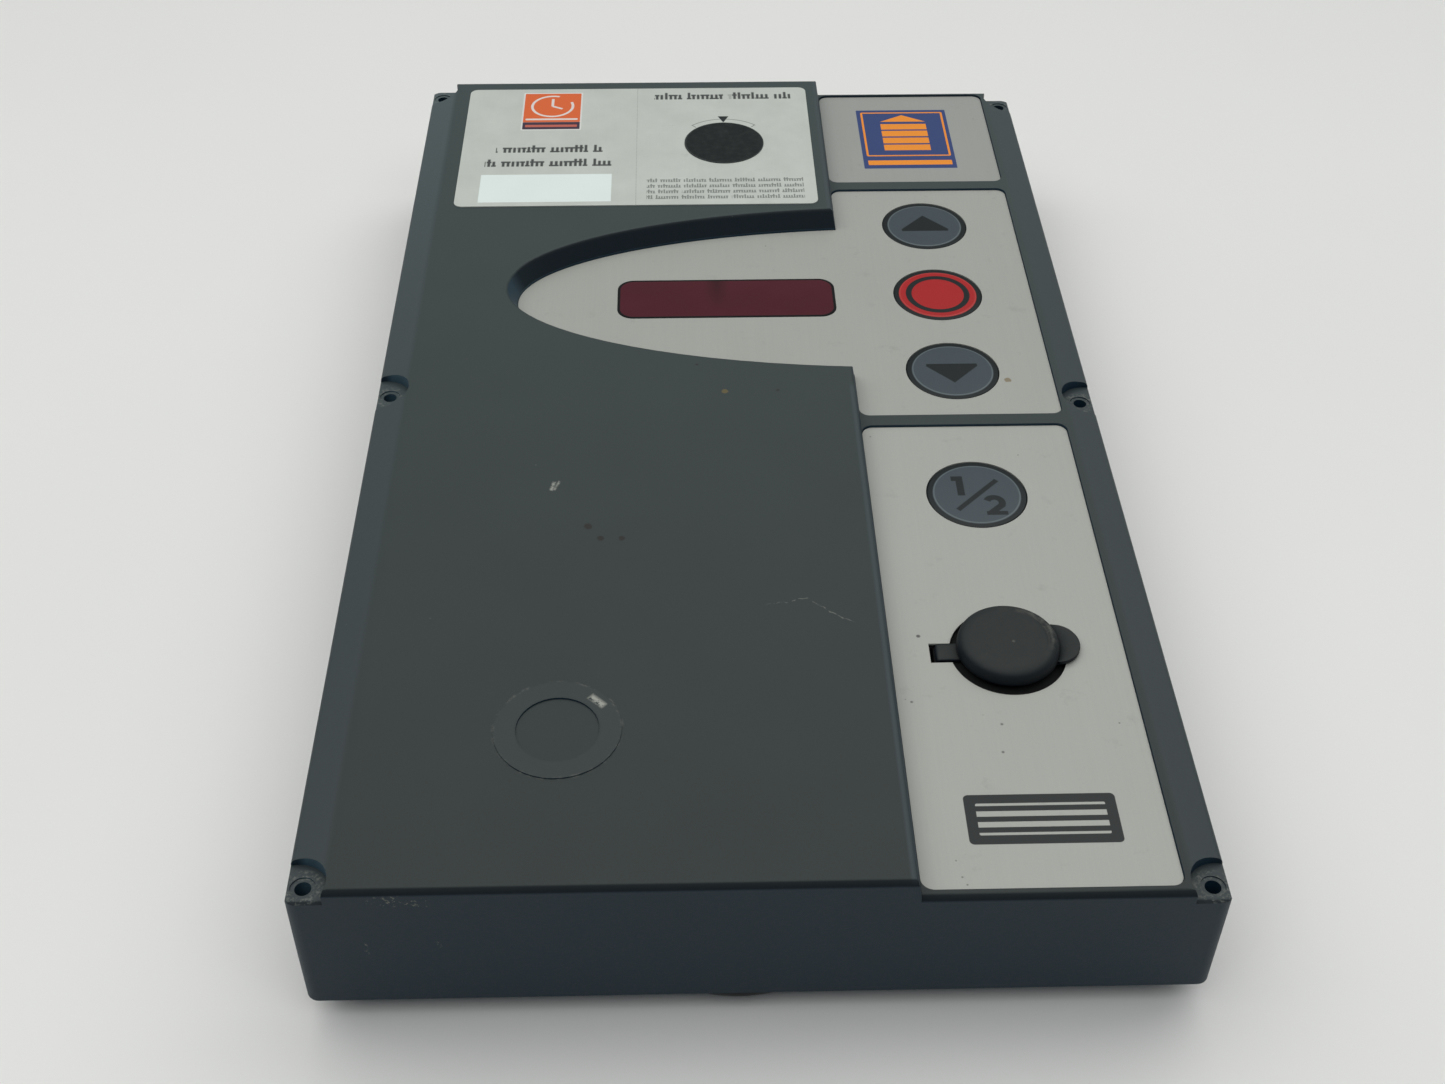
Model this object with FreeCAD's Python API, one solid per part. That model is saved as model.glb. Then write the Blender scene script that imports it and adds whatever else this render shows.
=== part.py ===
import FreeCAD, Part
import math
import os

# Wall control unit of a garage door operator, lying on its back.
# Frame: X across, Y up the wall when mounted, Z out of the wall.
# z = 0 is the back of the rear housing; x = y = 0 is the middle of the cover.

Vector = FreeCAD.Vector
UP = Vector(0, 0, 1)

# ---------------------------------------------------------------- driving sizes
# Front cover
cover_width = 202.0
cover_length = 346.0
cover_wall = 3.0
cover_draft = 0.6            # each long wall leans in by this much at its top
cover_corner_radius = 3.0
cover_edge_z = 8.0           # the rear housing stands out this far behind the cover
deck_rise = 38.8             # deck above the cover's edge
step_drop = 5.3              # keypad column below the deck
left_rim_drop = 2.5          # the sloped side bands fall this much
right_rim_drop = 2.2
band_width = 8.6
end_radius = 1.6
rim_radius = 1.6             # outer edge of the side bands
break_radius = 12.0          # where a side band runs into the deck or column
step_radius = 1.2            # top edge of the step and of the recess
foot_radius = 0.4            # foot of the step
round_steps = 4              # facets that round the recess edge over
column_width = 68.4          # from the step to the right wall
step_lean = 0.9              # the step's foot is this far right of its top

# Screw seats
screw_edge_x = 3.9           # hole centre to the long edge
screw_edge_y = 4.5           # hole centre to the end
screw_hole_radius = 1.8
screw_ring_radius = 2.8
screw_ring_depth = 0.3
seat_radius = 7.2
seat_below_rim = 1.4
boss_radius = 6.5

# Foils on the keypad column
foil_thickness = 0.5
foil_recess = 0.7            # foil face below the column's frame
foil_fit = 0.15
foil_corner_radius = 3.0
foil_side_margin = 1.2
foil_end_margin = 1.9
foil_gap = 4.7
foil_width = 56.5
top_panel_length = 57.4
upper_foil_length = 117.9

# Half-ellipse recess that joins the upper foil
swoosh_reach = 99.9          # from the step to the tip, at deck level
swoosh_long = 118.0          # half axes at deck level
swoosh_short = 41.6
swoosh_lean = 2.8            # the recess wall leans in by this much at its foot
swoosh_from_top = 125.0      # recess axis to the upper end

# Display
window_width = 65.3
window_height = 19.6
window_corner_radius = 4.8
window_thickness = 1.0
window_from_step = 34.4      # window centre to the step
window_from_top = 123.8
window_opening_inset = 3.0
display_width = 50.3
display_height = 14.0
display_depth = 7.6

# Keys
key_radius = 13.2
key_gap = 0.2
key_proud = 0.15
key_travel = 0.6
key_flange_extra = 1.6
key_flange_thickness = 1.0
key_stem_radius = 2.6
key_from_top = {"key_up": 84.9, "key_stop": 122.9, "key_down": 161.0, "key_half": 215.2}

# Service label and its badge
label_width = 115.3
label_height = 75.0
label_thickness = 0.3
label_corner_radius = 2.6
label_from_step = 61.8       # label centre to the step
label_from_top = 43.5
badge_radius = 13.1
badge_thickness = 0.2
badge_right_of_middle = 28.7
badge_above_middle = 0.3     # badge centre above the label's middle

# Round knock-out in the deck
knock_out_x = -44.9
knock_out_from_bottom = 44.6
knock_out_radius = 14.6
knock_out_inner_radius = 9.5
knock_out_rise = 0.25        # the ring stands above the deck
knock_out_sink = 0.15        # the disc inside it lies below the deck

# Key lock and its rubber cap
lock_from_bottom = 72.6
lock_well_radius = 14.1
lock_well_depth = 1.3        # below the foil face
lock_plate_radius = 19.0
lock_plate_thickness = 3.0
lock_flange_radius = 9.2
lock_flange_thickness = 1.8
lock_barrel_radius = 8.0
lock_barrel_length = 12.5
lock_barrel_gap = 0.2
lock_core_radius = 5.2
lock_core_fit = 0.05
key_slot = (7.0, 1.1, 8.0)
nut_across_flats = 22.0
nut_thickness = 3.0
cam_reach = 18.4
cam_width = 6.0
cam_thickness = 1.5
cap_base_radius = 12.4
cap_top_radius = 9.9
cap_height = 6.5             # above the foil face
cap_wall = 1.6
cap_lift = 0.3               # gap under the cap
cap_shoulder_radius = 1.4
strap_width = 5.8
strap_thickness = 1.2
strap_slot_width = 6.4
strap_slot_reach = 18.9      # from the lock's centre to the slot's closed end
strap_anchor_thickness = 1.1
strap_anchor_drop = 0.1      # the anchor ends this far below the hinge line
hinge_gap = 0.8
ear_radius = 6.3
ear_reach = 17.4
ear_thickness = 1.2
ear_lift = 0.2

# Keypad board
board_thickness = 1.6
keypad_board_z = 28.0
keypad_board_inset = 11.0    # from the right edge of the cover
keypad_board_width = 52.0
keypad_board_end_margin = 65.0
keypad_board_bottom_gap = 20.0
wing_height = 28.0
wing_reach = 76.0
key_switch_size = 6.0
key_switch_height = 3.5
plunger_radius = 1.75
plunger_height = 1.0
post_radius = 3.0
screw_pilot_radius = 1.15
board_screw_radius = 1.0
board_screw_head_radius = 2.6
board_screw_head_height = 1.8
board_screw_length = 6.0

# Microswitch beside the cam
micro_length = 19.8
micro_depth = 9.6
micro_height = 6.2
micro_plunger = 1.0
micro_gap = 0.5

# Rear housing
housing_inset = 7.0
housing_wall = 2.5
housing_height = 17.8
housing_corner_radius = 4.0
lug_thickness = 4.8
lug_half_width = 4.0
lug_skin = 1.6               # from the lug to the cover's outer face
lug_gap = 0.3
lug_foot = 6.0               # corner lugs are filled this far into the housing
lug_foot_gap = 0.6           # from the foot to the inside of the cover
lug_hole_radius = 1.4
wall_hole_radius = 2.6
wall_hole_spacing_x = 140.0
wall_hole_spacing_y = 300.0
wall_boss_radius = 6.0
wall_boss_height = 3.0
seal_gap = 0.6               # from the seal to the inside of the cover
seal_height = 3.0
seal_above_edge = 0.6
grommet_radius = 10.0
grommet_lip = 2.0
grommet_fit = 0.1
grommet_step = 0.3           # the grommet stays this far above the back face
grommet_nose_radius = 7.0
grommet_nose_height = 6.0
grommet_wall = 1.2
grommet_membrane = 1.0
grommet_count = 3
grommet_pitch = 36.0
grommet_end_gap = 21.0
grommet_lip_thickness = 1.2

# Control board
control_board_width = cover_width - 42.0
control_board_length = 224.0
control_board_y = 18.0
control_board_z = 8.0
standoff_radius = 3.5
standoff_inset = 8.0
component_fit = 0.05


# ---------------------------------------------------------------- derived sizes
half_width = cover_width / 2
half_length = cover_length / 2
deck_z = cover_edge_z + deck_rise
column_z = deck_z - step_drop
left_rim_z = deck_z - left_rim_drop
right_rim_z = column_z - right_rim_drop
step_x = half_width - column_width
foil_z = column_z - foil_recess
foil_seat_z = foil_z - foil_thickness
column_under_z = column_z - cover_wall
foil_x0 = step_x + foil_side_margin
foil_x1 = foil_x0 + foil_width
key_x = (foil_x0 + foil_x1) / 2
lock_x = key_x
lock_y = -half_length + lock_from_bottom
key_places = {name: half_length - distance for name, distance in key_from_top.items()}
window_x = step_x - window_from_step
window_y = half_length - window_from_top
swoosh_y = half_length - swoosh_from_top
label_x = step_x - label_from_step
label_y = half_length - label_from_top
badge_x = label_x + badge_right_of_middle
badge_y = label_y + badge_above_middle
knock_out_y = -half_length + knock_out_from_bottom
seal_thickness = housing_inset - cover_wall - seal_gap
hole_x = half_width - screw_edge_x
hole_y = half_length - screw_edge_y
boss_bottom_z = housing_height + lug_gap + 0.2
swoosh_x = step_x - swoosh_reach + swoosh_long
lock_well_z = foil_z - lock_well_depth
lock_plate_under_z = lock_well_z - lock_plate_thickness
keypad_board_top = keypad_board_z + board_thickness
control_board_top = control_board_z + board_thickness
housing_x = half_width - housing_inset
housing_y = half_length - housing_inset

top_panel_y1 = half_length - foil_end_margin
top_panel_y0 = top_panel_y1 - top_panel_length
upper_foil_y1 = top_panel_y0 - foil_gap
upper_foil_y0 = upper_foil_y1 - upper_foil_length
lower_foil_y1 = upper_foil_y0 - foil_gap
lower_foil_y0 = -half_length + foil_end_margin + 0.5


# ---------------------------------------------------------------- shape helpers
def box(x0, x1, y0, y1, z0, z1):
    """Box between two corners."""
    return Part.makeBox(x1 - x0, y1 - y0, z1 - z0, Vector(x0, y0, z0))


def rod(x, y, z0, z1, radius):
    """Upright cylinder from z0 to z1."""
    return Part.makeCylinder(radius, z1 - z0, Vector(x, y, z0), UP)


def rod_along_y(x, z, y0, y1, radius):
    """Cylinder lying along Y."""
    return Part.makeCylinder(radius, y1 - y0, Vector(x, y0, z), Vector(0, 1, 0))


def rounded_plate(x0, x1, y0, y1, z0, z1, radius):
    """Plate with its four upright corners rounded."""
    block = box(x0, x1, y0, y1, z0, z1)
    upright = [edge for edge in block.Edges if abs(edge.tangentAt(edge.FirstParameter).z) > 0.99]
    return block.makeFillet(radius, upright)


def profile_along_y(points, y0, y1):
    """Solid swept along Y from a closed outline of (x, z) points."""
    wire = Part.makePolygon([Vector(x, y0, z) for x, z in points + points[:1]])
    return Part.Face(wire).extrude(Vector(0, y1 - y0, 0))


def fuse(shapes):
    """One solid from touching shapes."""
    first, rest = shapes[0], shapes[1:]
    joined = first.fuse(rest) if rest else first
    return joined.removeSplitter()


def group(shapes):
    """Several separate solids kept in one node."""
    solids = []
    for shape in shapes:
        solids += shape.Solids
    return Part.makeCompound(solids)


def half_ellipse_wire(long_half, short_half, x_end, z):
    """Blunt end of the recess ellipse at height z, closed by a straight line at x_end."""
    ellipse = Part.Ellipse(Vector(swoosh_x, swoosh_y, z), long_half, short_half)
    turn = math.acos((x_end - swoosh_x) / long_half)
    curve = Part.ArcOfEllipse(ellipse, turn, 2 * math.pi - turn)
    line = Part.LineSegment(curve.EndPoint, curve.StartPoint)
    return Part.Wire([curve.toShape(), line.toShape()])


def corners(half_x, half_y):
    """The four corner points of a centred rectangle."""
    return [(sx * half_x, sy * half_y) for sx in (-1, 1) for sy in (-1, 1)]


def screw_places():
    """Centres of the cover's six screw holes."""
    return [(sx * hole_x, sy * hole_y) for sx in (-1, 1) for sy in (-1, 0, 1)]


# ---------------------------------------------------------------- front cover
def cover_section(inset, bottom_z):
    """Cross-section of the cover, moved in by inset, as (x, z) points."""
    left_break = -half_width + cover_draft + band_width
    right_break = half_width - cover_draft - band_width
    return [
        (-half_width + inset, bottom_z),
        (-half_width + cover_draft + inset, left_rim_z - inset),
        (left_break + inset / 2, deck_z - inset),
        (step_x - inset, deck_z - inset),
        (step_x + (step_lean if inset == 0 else -inset), column_z - inset),
        (right_break - inset / 2, column_z - inset),
        (half_width - cover_draft - inset, right_rim_z - inset),
        (half_width - inset, bottom_z),
    ]


def end_rounding(x0, x1, top_z):
    """Tools that round the two short top edges between x0 and x1."""
    tools = []
    for side in (-1, 1):
        edge_y = side * half_length
        inner_y = edge_y - side * end_radius
        y_low, y_high = sorted((inner_y, edge_y + side))
        corner = box(x0, x1, y_low, y_high, top_z - end_radius, top_z + 1)
        bar = Part.makeCylinder(
            end_radius, x1 - x0, Vector(x0, inner_y, top_z - end_radius), Vector(1, 0, 0)
        )
        tools.append(corner.cut(bar))
    return tools


def round_long_edges(bar, roundings):
    """Rounds the edges along Y that pass through the given (x, z) points."""
    for (x, z), radius in roundings:
        edges = [
            edge
            for edge in bar.Edges
            if abs(edge.tangentAt(edge.FirstParameter).y) > 0.99
            and math.hypot(edge.CenterOfMass.x - x, edge.CenterOfMass.z - z) < 0.01
        ]
        bar = bar.makeFillet(radius, edges)
    return bar


def cover_blank():
    """Outer form of the cover as a full block."""
    section = cover_section(0, cover_edge_z)
    block = profile_along_y(section, -half_length, half_length)
    radii = [rim_radius, break_radius, step_radius, foot_radius, break_radius, rim_radius]
    block = round_long_edges(block, list(zip(section[1:-1], radii)))
    plan = rounded_plate(
        -half_width, half_width, -half_length, half_length, 0, deck_z + 1, cover_corner_radius
    )
    block = block.common(plan)
    foot_x = step_x + step_lean
    tools = end_rounding(-half_width - 1, foot_x, deck_z)
    tools += end_rounding(foot_x, half_width + 1, column_z)
    return block.cut(tools)


def swoosh_recess():
    """Half-ellipse recess in the deck: leaning wall, rounded over at the deck."""
    lean = math.atan2(swoosh_lean, step_drop)
    wall_top = math.tan(lean) * step_radius * (1 - math.sin(lean))
    sections = [(swoosh_lean, column_z)]
    for step in range(round_steps + 1):
        angle = lean + (math.pi / 2 - lean) * step / round_steps
        inset = wall_top + step_radius * (math.cos(angle) - math.cos(lean))
        sections.append((inset, deck_z - step_radius * (1 - math.sin(angle))))
    sections.append((inset, deck_z + 0.5))
    x_end = step_x + step_lean
    wires = [half_ellipse_wire(swoosh_long - i, swoosh_short - i, x_end, z) for i, z in sections]
    return Part.makeLoft(wires, True, True)


def swoosh_backing():
    """Thicker stuff that carries the recess from below."""
    wire = half_ellipse_wire(swoosh_long + cover_wall, swoosh_short + cover_wall, step_x, column_under_z)
    return Part.Face(wire).extrude(Vector(0, 0, deck_z - column_under_z))


def foil_outline(y0, y1, grow, z0, z1):
    """Rounded foil blank, grown by a clearance."""
    return rounded_plate(
        foil_x0 - grow, foil_x1 + grow, y0 - grow, y1 + grow, z0, z1, foil_corner_radius
    )


def upper_foil_blank(grow, z0, z1):
    """Upper foil with its half-ellipse wing."""
    inset = swoosh_lean + 0.2 - grow
    wire = half_ellipse_wire(swoosh_long - inset, swoosh_short - inset, foil_x0 + 4, z0)
    wing = Part.Face(wire).extrude(Vector(0, 0, z1 - z0))
    return fuse([foil_outline(upper_foil_y0, upper_foil_y1, grow, z0, z1), wing])


def window_block(inset, z0, z1, radius):
    """Rounded block of the display window."""
    return rounded_plate(
        window_x - window_width / 2 + inset,
        window_x + window_width / 2 - inset,
        window_y - window_height / 2 + inset,
        window_y + window_height / 2 - inset,
        z0,
        z1,
        radius,
    )


def lock_opening(grow, z0, z1):
    """Round lock opening with the slot for the strap."""
    round_part = rod(lock_x, lock_y, z0, z1, lock_well_radius + grow)
    slot = box(
        lock_x - strap_slot_reach - grow,
        lock_x,
        lock_y - strap_slot_width / 2 - grow,
        lock_y + strap_slot_width / 2 + grow,
        z0,
        z1,
    )
    return fuse([round_part, slot])


def seat_floor(x):
    """Height of a screw seat on the side of x."""
    rim = left_rim_z if x < 0 else right_rim_z
    return rim - seat_below_rim


def front_cover():
    """Moulded cover: shell, screw bosses, board posts, recesses and holes."""
    outer = cover_blank()
    cavity = profile_along_y(
        cover_section(cover_wall, cover_edge_z - 1), -half_length + cover_wall, half_length - cover_wall
    )
    cavity = cavity.cut(swoosh_backing())
    shell = outer.cut(cavity)
    extras = [rod(x, y, boss_bottom_z, seat_floor(x), boss_radius) for x, y in screw_places()]
    extras.append(rod(lock_x, lock_y, lock_plate_under_z, column_under_z + 1, lock_plate_radius))
    extras += [rod(x, y, keypad_board_top, column_under_z + 1, post_radius) for x, y in board_posts()]
    extras = [extra.common(outer) for extra in extras]
    extras.append(rod(knock_out_x, knock_out_y, deck_z - 1, deck_z + knock_out_rise, knock_out_radius))
    body = fuse([shell] + extras)

    cuts = [swoosh_recess()]
    cuts.append(upper_foil_blank(foil_fit, foil_seat_z, column_z + 1))
    cuts.append(foil_outline(top_panel_y0, top_panel_y1, foil_fit, foil_seat_z, column_z + 1))
    cuts.append(foil_outline(lower_foil_y0, lower_foil_y1, foil_fit, foil_seat_z, column_z + 1))
    cuts.append(window_block(window_opening_inset, column_under_z - 1, column_z, 1.0))
    for y in key_places.values():
        cuts.append(rod(key_x, y, column_under_z - 1, column_z, key_radius + key_gap))
    cuts.append(lock_opening(0, lock_well_z, column_z))
    cuts.append(rod(lock_x, lock_y, 0, column_z, lock_barrel_radius + lock_barrel_gap))
    cuts.append(strap_anchor_block(0.05, lock_plate_under_z - 1))
    for x, y in board_posts():
        cuts.append(rod(x, y, keypad_board_top - 1, keypad_board_top + board_screw_length, screw_pilot_radius))
    for x, y in screw_places():
        cuts += screw_seat_cuts(x, y)
    cuts.append(rod(knock_out_x, knock_out_y, deck_z - knock_out_sink, deck_z + 1, knock_out_inner_radius))
    for cut in cuts:
        body = body.cut(cut)
    return body.removeSplitter()


def screw_seat_cuts(x, y):
    """Round seat, ring and hole of one cover screw, and the pocket for its lug."""
    side = math.copysign(1, x)
    end = 0 if y == 0 else math.copysign(1, y)
    floor = seat_floor(x)
    seat = rod(x + side * 1.6, y + end * 1.0, floor, deck_z + 1, seat_radius)
    ring = rod(x, y, floor - screw_ring_depth, floor + 1, screw_ring_radius)
    hole = rod(x, y, 0, floor + 1, screw_hole_radius)
    room = lug_half_width + 0.5
    pocket = box(x - room, x + room, y - room, y + room, cover_edge_z - 1, boss_bottom_z)
    limit = box(
        -half_width + lug_skin - lug_gap,
        half_width - lug_skin + lug_gap,
        -half_length + lug_skin - lug_gap,
        half_length - lug_skin + lug_gap,
        0,
        boss_bottom_z,
    )
    return [seat, ring, hole, pocket.common(limit)]


# ---------------------------------------------------------------- foils, label, window
def top_panel():
    """Grey foil at the top end of the column."""
    return foil_outline(top_panel_y0, top_panel_y1, 0, foil_seat_z, foil_z)


def upper_keypad_panel():
    """Foil round the up, stop and down keys, with the display opening."""
    foil = upper_foil_blank(0, foil_seat_z, foil_z)
    foil = foil.cut(window_block(-foil_fit, 0, deck_z, window_corner_radius))
    for name in ("key_up", "key_stop", "key_down"):
        foil = foil.cut(rod(key_x, key_places[name], 0, deck_z, key_radius + key_gap))
    return foil


def lower_keypad_panel():
    """Foil round the half-open key and the lock."""
    foil = foil_outline(lower_foil_y0, lower_foil_y1, 0, foil_seat_z, foil_z)
    foil = foil.cut(rod(key_x, key_places["key_half"], 0, deck_z, key_radius + key_gap))
    return foil.cut(lock_opening(0, 0, deck_z))


def display_window():
    """Smoked red window, seated in the foil's opening and the cover's slot."""
    plate = window_block(0, foil_seat_z, foil_z + 0.1, window_corner_radius)
    plug_bottom = foil_z + 0.1 - window_thickness
    plug = window_block(window_opening_inset + foil_fit, plug_bottom, foil_seat_z + 0.1, 1.0)
    return fuse([plate, plug])


def service_label():
    """Silver label on the deck."""
    return rounded_plate(
        label_x - label_width / 2,
        label_x + label_width / 2,
        label_y - label_height / 2,
        label_y + label_height / 2,
        deck_z,
        deck_z + label_thickness,
        label_corner_radius,
    )


def label_badge():
    """Round dark badge on the label."""
    base = deck_z + label_thickness
    return rod(badge_x, badge_y, base, base + badge_thickness, badge_radius)


# ---------------------------------------------------------------- keys
def key_cap(y):
    """Key disc with a flange that keeps it in and a stem over its switch."""
    flange_top = column_under_z - 0.3
    flange_bottom = flange_top - key_flange_thickness
    top = foil_z + key_proud
    disc = rod(key_x, y, flange_bottom, top, key_radius)
    rim = [edge for edge in disc.Edges if edge.BoundBox.ZMin > top - 0.01]
    disc = disc.makeFillet(0.3, rim)
    flange = rod(key_x, y, flange_bottom, flange_top, key_radius + key_flange_extra)
    stem_bottom = keypad_board_top + key_switch_height + plunger_height + key_travel + 0.1
    stem = rod(key_x, y, stem_bottom, flange_bottom + 0.5, key_stem_radius)
    return fuse([disc, flange, stem])


def key_switches():
    """Push switches on the keypad board, one under each key."""
    switches = []
    half = key_switch_size / 2
    for y in key_places.values():
        body_top = keypad_board_top + key_switch_height
        body = box(key_x - half, key_x + half, y - half, y + half, keypad_board_top, body_top)
        plunger = rod(key_x, y, body_top, body_top + plunger_height, plunger_radius)
        switches.append(fuse([body, plunger]))
    return group(switches)


# ---------------------------------------------------------------- keypad board
def board_edges():
    """Keypad board outline: x0, x1, y0, y1 of its long part."""
    x1 = half_width - keypad_board_inset
    y0 = lock_y + keypad_board_bottom_gap
    y1 = half_length - keypad_board_end_margin
    return x1 - keypad_board_width, x1, y0, y1


def board_posts():
    """Centres of the posts that carry the keypad board."""
    x0, x1, y0, y1 = board_edges()
    places = [(x, y) for x in (x0 + 4.2, x1 - 4.2) for y in (y0 + 20, y1 - 6)]
    places.append((x0 - wing_reach + 5, window_y))
    return places


def keypad_board():
    """Board behind the keys, with a wing behind the display."""
    x0, x1, y0, y1 = board_edges()
    main = box(x0, x1, y0, y1, keypad_board_z, keypad_board_top)
    wing = box(
        x0 - wing_reach,
        x0,
        window_y - wing_height / 2,
        window_y + wing_height / 2,
        keypad_board_z,
        keypad_board_top,
    )
    board = fuse([main, wing])
    for x, y in board_posts():
        board = board.cut(rod(x, y, 0, deck_z, board_screw_radius + 0.2))
    return board


def pan_screw(x, y, seat_z, direction):
    """Small pan-head screw; direction +1 points its shank up, -1 down."""
    shank = Part.makeCylinder(
        board_screw_radius, board_screw_length, Vector(x, y, seat_z), Vector(0, 0, direction)
    )
    head = Part.makeCylinder(
        board_screw_head_radius, board_screw_head_height, Vector(x, y, seat_z), Vector(0, 0, -direction)
    )
    outer_face = seat_z - direction * board_screw_head_height
    slot_low = min(outer_face, outer_face + direction * 0.8)
    slots = [
        box(x - 1.5, x + 1.5, y - 0.3, y + 0.3, slot_low, slot_low + 0.8),
        box(x - 0.3, x + 0.3, y - 1.5, y + 1.5, slot_low, slot_low + 0.8),
    ]
    screw = fuse([shank, head])
    for slot in slots:
        screw = screw.cut(slot)
    return screw


def keypad_board_screws():
    """Screws that hold the keypad board to the cover's posts."""
    return group([pan_screw(x, y, keypad_board_z, 1) for x, y in board_posts()])


def digit_display():
    """Two-digit display block behind the window."""
    return box(
        window_x - display_width / 2,
        window_x + display_width / 2,
        window_y - display_height / 2,
        window_y + display_height / 2,
        keypad_board_top,
        keypad_board_top + display_depth,
    )


# ---------------------------------------------------------------- plug between the boards
plug_x = half_width - keypad_board_inset - 10
plug_from_top = 104.0
plug_y = half_length - plug_from_top
pin_pitch = 2.54
pin_columns = 2
pin_rows = 8
pin_side = 0.64
pin_gap = 0.1
socket_height = 8.5
header_body_height = 8.0
header_pin_bare = 7.5


def pin_places():
    """Centres of the pins."""
    places = []
    for column in range(pin_columns):
        for row in range(pin_rows):
            x = plug_x + (column - (pin_columns - 1) / 2) * pin_pitch
            y = plug_y + (row - (pin_rows - 1) / 2) * pin_pitch
            places.append((x, y))
    return places


def keypad_socket():
    """Socket under the keypad board that drops over the pins."""
    half_x = pin_columns * pin_pitch / 2
    half_y = pin_rows * pin_pitch / 2
    bottom = keypad_board_z - socket_height
    block = box(plug_x - half_x, plug_x + half_x, plug_y - half_y, plug_y + half_y, bottom, keypad_board_z)
    reach = pin_side / 2 + pin_gap
    for x, y in pin_places():
        block = block.cut(box(x - reach, x + reach, y - reach, y + reach, bottom - 1, keypad_board_z - 0.5))
    return block


def control_header():
    """Tall pin header on the control board."""
    half_x = pin_columns * pin_pitch / 2
    half_y = pin_rows * pin_pitch / 2
    top = control_board_top + header_body_height
    block = box(plug_x - half_x, plug_x + half_x, plug_y - half_y, plug_y + half_y, control_board_top, top)
    pins = [
        box(x - pin_side / 2, x + pin_side / 2, y - pin_side / 2, y + pin_side / 2, top, top + header_pin_bare)
        for x, y in pin_places()
    ]
    return fuse([block] + pins)


# ---------------------------------------------------------------- key lock
def lock_body():
    """Lock barrel with its flange, bored for the core."""
    flange = rod(lock_x, lock_y, lock_well_z, lock_well_z + lock_flange_thickness, lock_flange_radius)
    barrel = rod(lock_x, lock_y, lock_well_z - lock_barrel_length, lock_well_z, lock_barrel_radius)
    body = fuse([flange, barrel])
    return body.cut(rod(lock_x, lock_y, 0, deck_z, lock_core_radius + lock_core_fit))


def lock_nut():
    """Hexagon nut on the barrel, under the cover's plate."""
    radius = nut_across_flats / math.sqrt(3)
    points = []
    for corner in range(7):
        angle = math.radians(60 * corner)
        x = lock_x + radius * math.cos(angle)
        y = lock_y + radius * math.sin(angle)
        points.append(Vector(x, y, lock_plate_under_z - nut_thickness))
    nut = Part.Face(Part.makePolygon(points)).extrude(Vector(0, 0, nut_thickness))
    return nut.cut(rod(lock_x, lock_y, 0, deck_z, lock_barrel_radius + 0.02))


lock_core_bottom = lock_well_z - lock_barrel_length - 0.6


def lock_core():
    """Turning core with the key slot in its face."""
    top = lock_well_z + lock_flange_thickness - 0.2
    core = rod(lock_x, lock_y, lock_core_bottom, top, lock_core_radius)
    slot_x, slot_y, slot_depth = key_slot
    slot = box(
        lock_x - slot_x / 2, lock_x + slot_x / 2, lock_y - slot_y / 2, lock_y + slot_y / 2, top - slot_depth, top + 1
    )
    core = core.cut(slot)
    return core.cut(rod(lock_x, lock_y, lock_core_bottom - 1, lock_core_bottom + 5, board_screw_radius))


def lock_cam():
    """Cam plate on the core; its lobe points along +X when the key is out."""
    top = lock_core_bottom
    bottom = top - cam_thickness
    hub = rod(lock_x, lock_y, bottom, top, lock_core_radius)
    reach = cam_reach - cam_width / 2
    arm = box(lock_x, lock_x + reach, lock_y - cam_width / 2, lock_y + cam_width / 2, bottom, top)
    tip = rod(lock_x + reach, lock_y, bottom, top, cam_width / 2)
    cam = fuse([hub, arm, tip])
    return cam.cut(rod(lock_x, lock_y, 0, deck_z, board_screw_radius + 0.05))


def cam_screw():
    """Screw that holds the cam to the core."""
    seat = lock_core_bottom - cam_thickness
    shank = rod(lock_x, lock_y, seat, seat + cam_thickness + 4, board_screw_radius)
    head = rod(lock_x, lock_y, seat - board_screw_head_height, seat, board_screw_head_radius)
    return fuse([shank, head])


def micro_box():
    """Corners of the microswitch body."""
    y0 = lock_y + cam_reach + micro_gap + micro_plunger
    return key_x - micro_length / 2, key_x + micro_length / 2, y0, y0 + micro_depth


def micro_screw_places():
    """Centres of the two screws through the microswitch."""
    x0, x1, y0, y1 = micro_box()
    return [(x0 + 5.2, y1 - 3.0), (x1 - 5.2, y1 - 3.0)]


def microswitch():
    """Switch under the keypad board, its plunger facing the cam."""
    x0, x1, y0, y1 = micro_box()
    bottom = keypad_board_z - micro_height
    body = box(x0, x1, y0, y1, bottom, keypad_board_z)
    plunger_z = lock_core_bottom - cam_thickness / 2
    plunger = rod_along_y(key_x, plunger_z, y0 - micro_plunger, y0 + 1, 1.2)
    body = fuse([body, plunger])
    for x, y in micro_screw_places():
        body = body.cut(rod(x, y, 0, deck_z, board_screw_radius + 0.1))
    return body


def microswitch_screws():
    """Screws that hold the microswitch to the board."""
    screws = []
    for x, y in micro_screw_places():
        bottom = keypad_board_z - micro_height
        shank = rod(x, y, bottom, keypad_board_z, board_screw_radius)
        head = rod(x, y, bottom - 1.2, bottom, 1.9)
        screws.append(fuse([shank, head]))
    return group(screws)


# ---------------------------------------------------------------- rubber cap
cap_bottom_z = lock_well_z + cap_lift
hinge_x = lock_x - strap_slot_reach + strap_anchor_thickness + hinge_gap
hinge_z = foil_z - 0.1


def strap_anchor_block(grow, bottom):
    """Foot of the strap, pressed into the closed end of the slot."""
    x0 = lock_x - strap_slot_reach
    return box(
        x0 - grow,
        x0 + strap_anchor_thickness + grow,
        lock_y - strap_width / 2 - grow,
        lock_y + strap_width / 2 + grow,
        bottom,
        lock_well_z + 0.01,
    )


def strap_anchor():
    """Rubber foot that holds the cap's strap in the cover."""
    x0 = lock_x - strap_slot_reach
    y0 = lock_y - strap_width / 2
    return box(
        x0, x0 + strap_anchor_thickness, y0, y0 + strap_width, column_under_z - 1, hinge_z - strap_anchor_drop
    )


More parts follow.
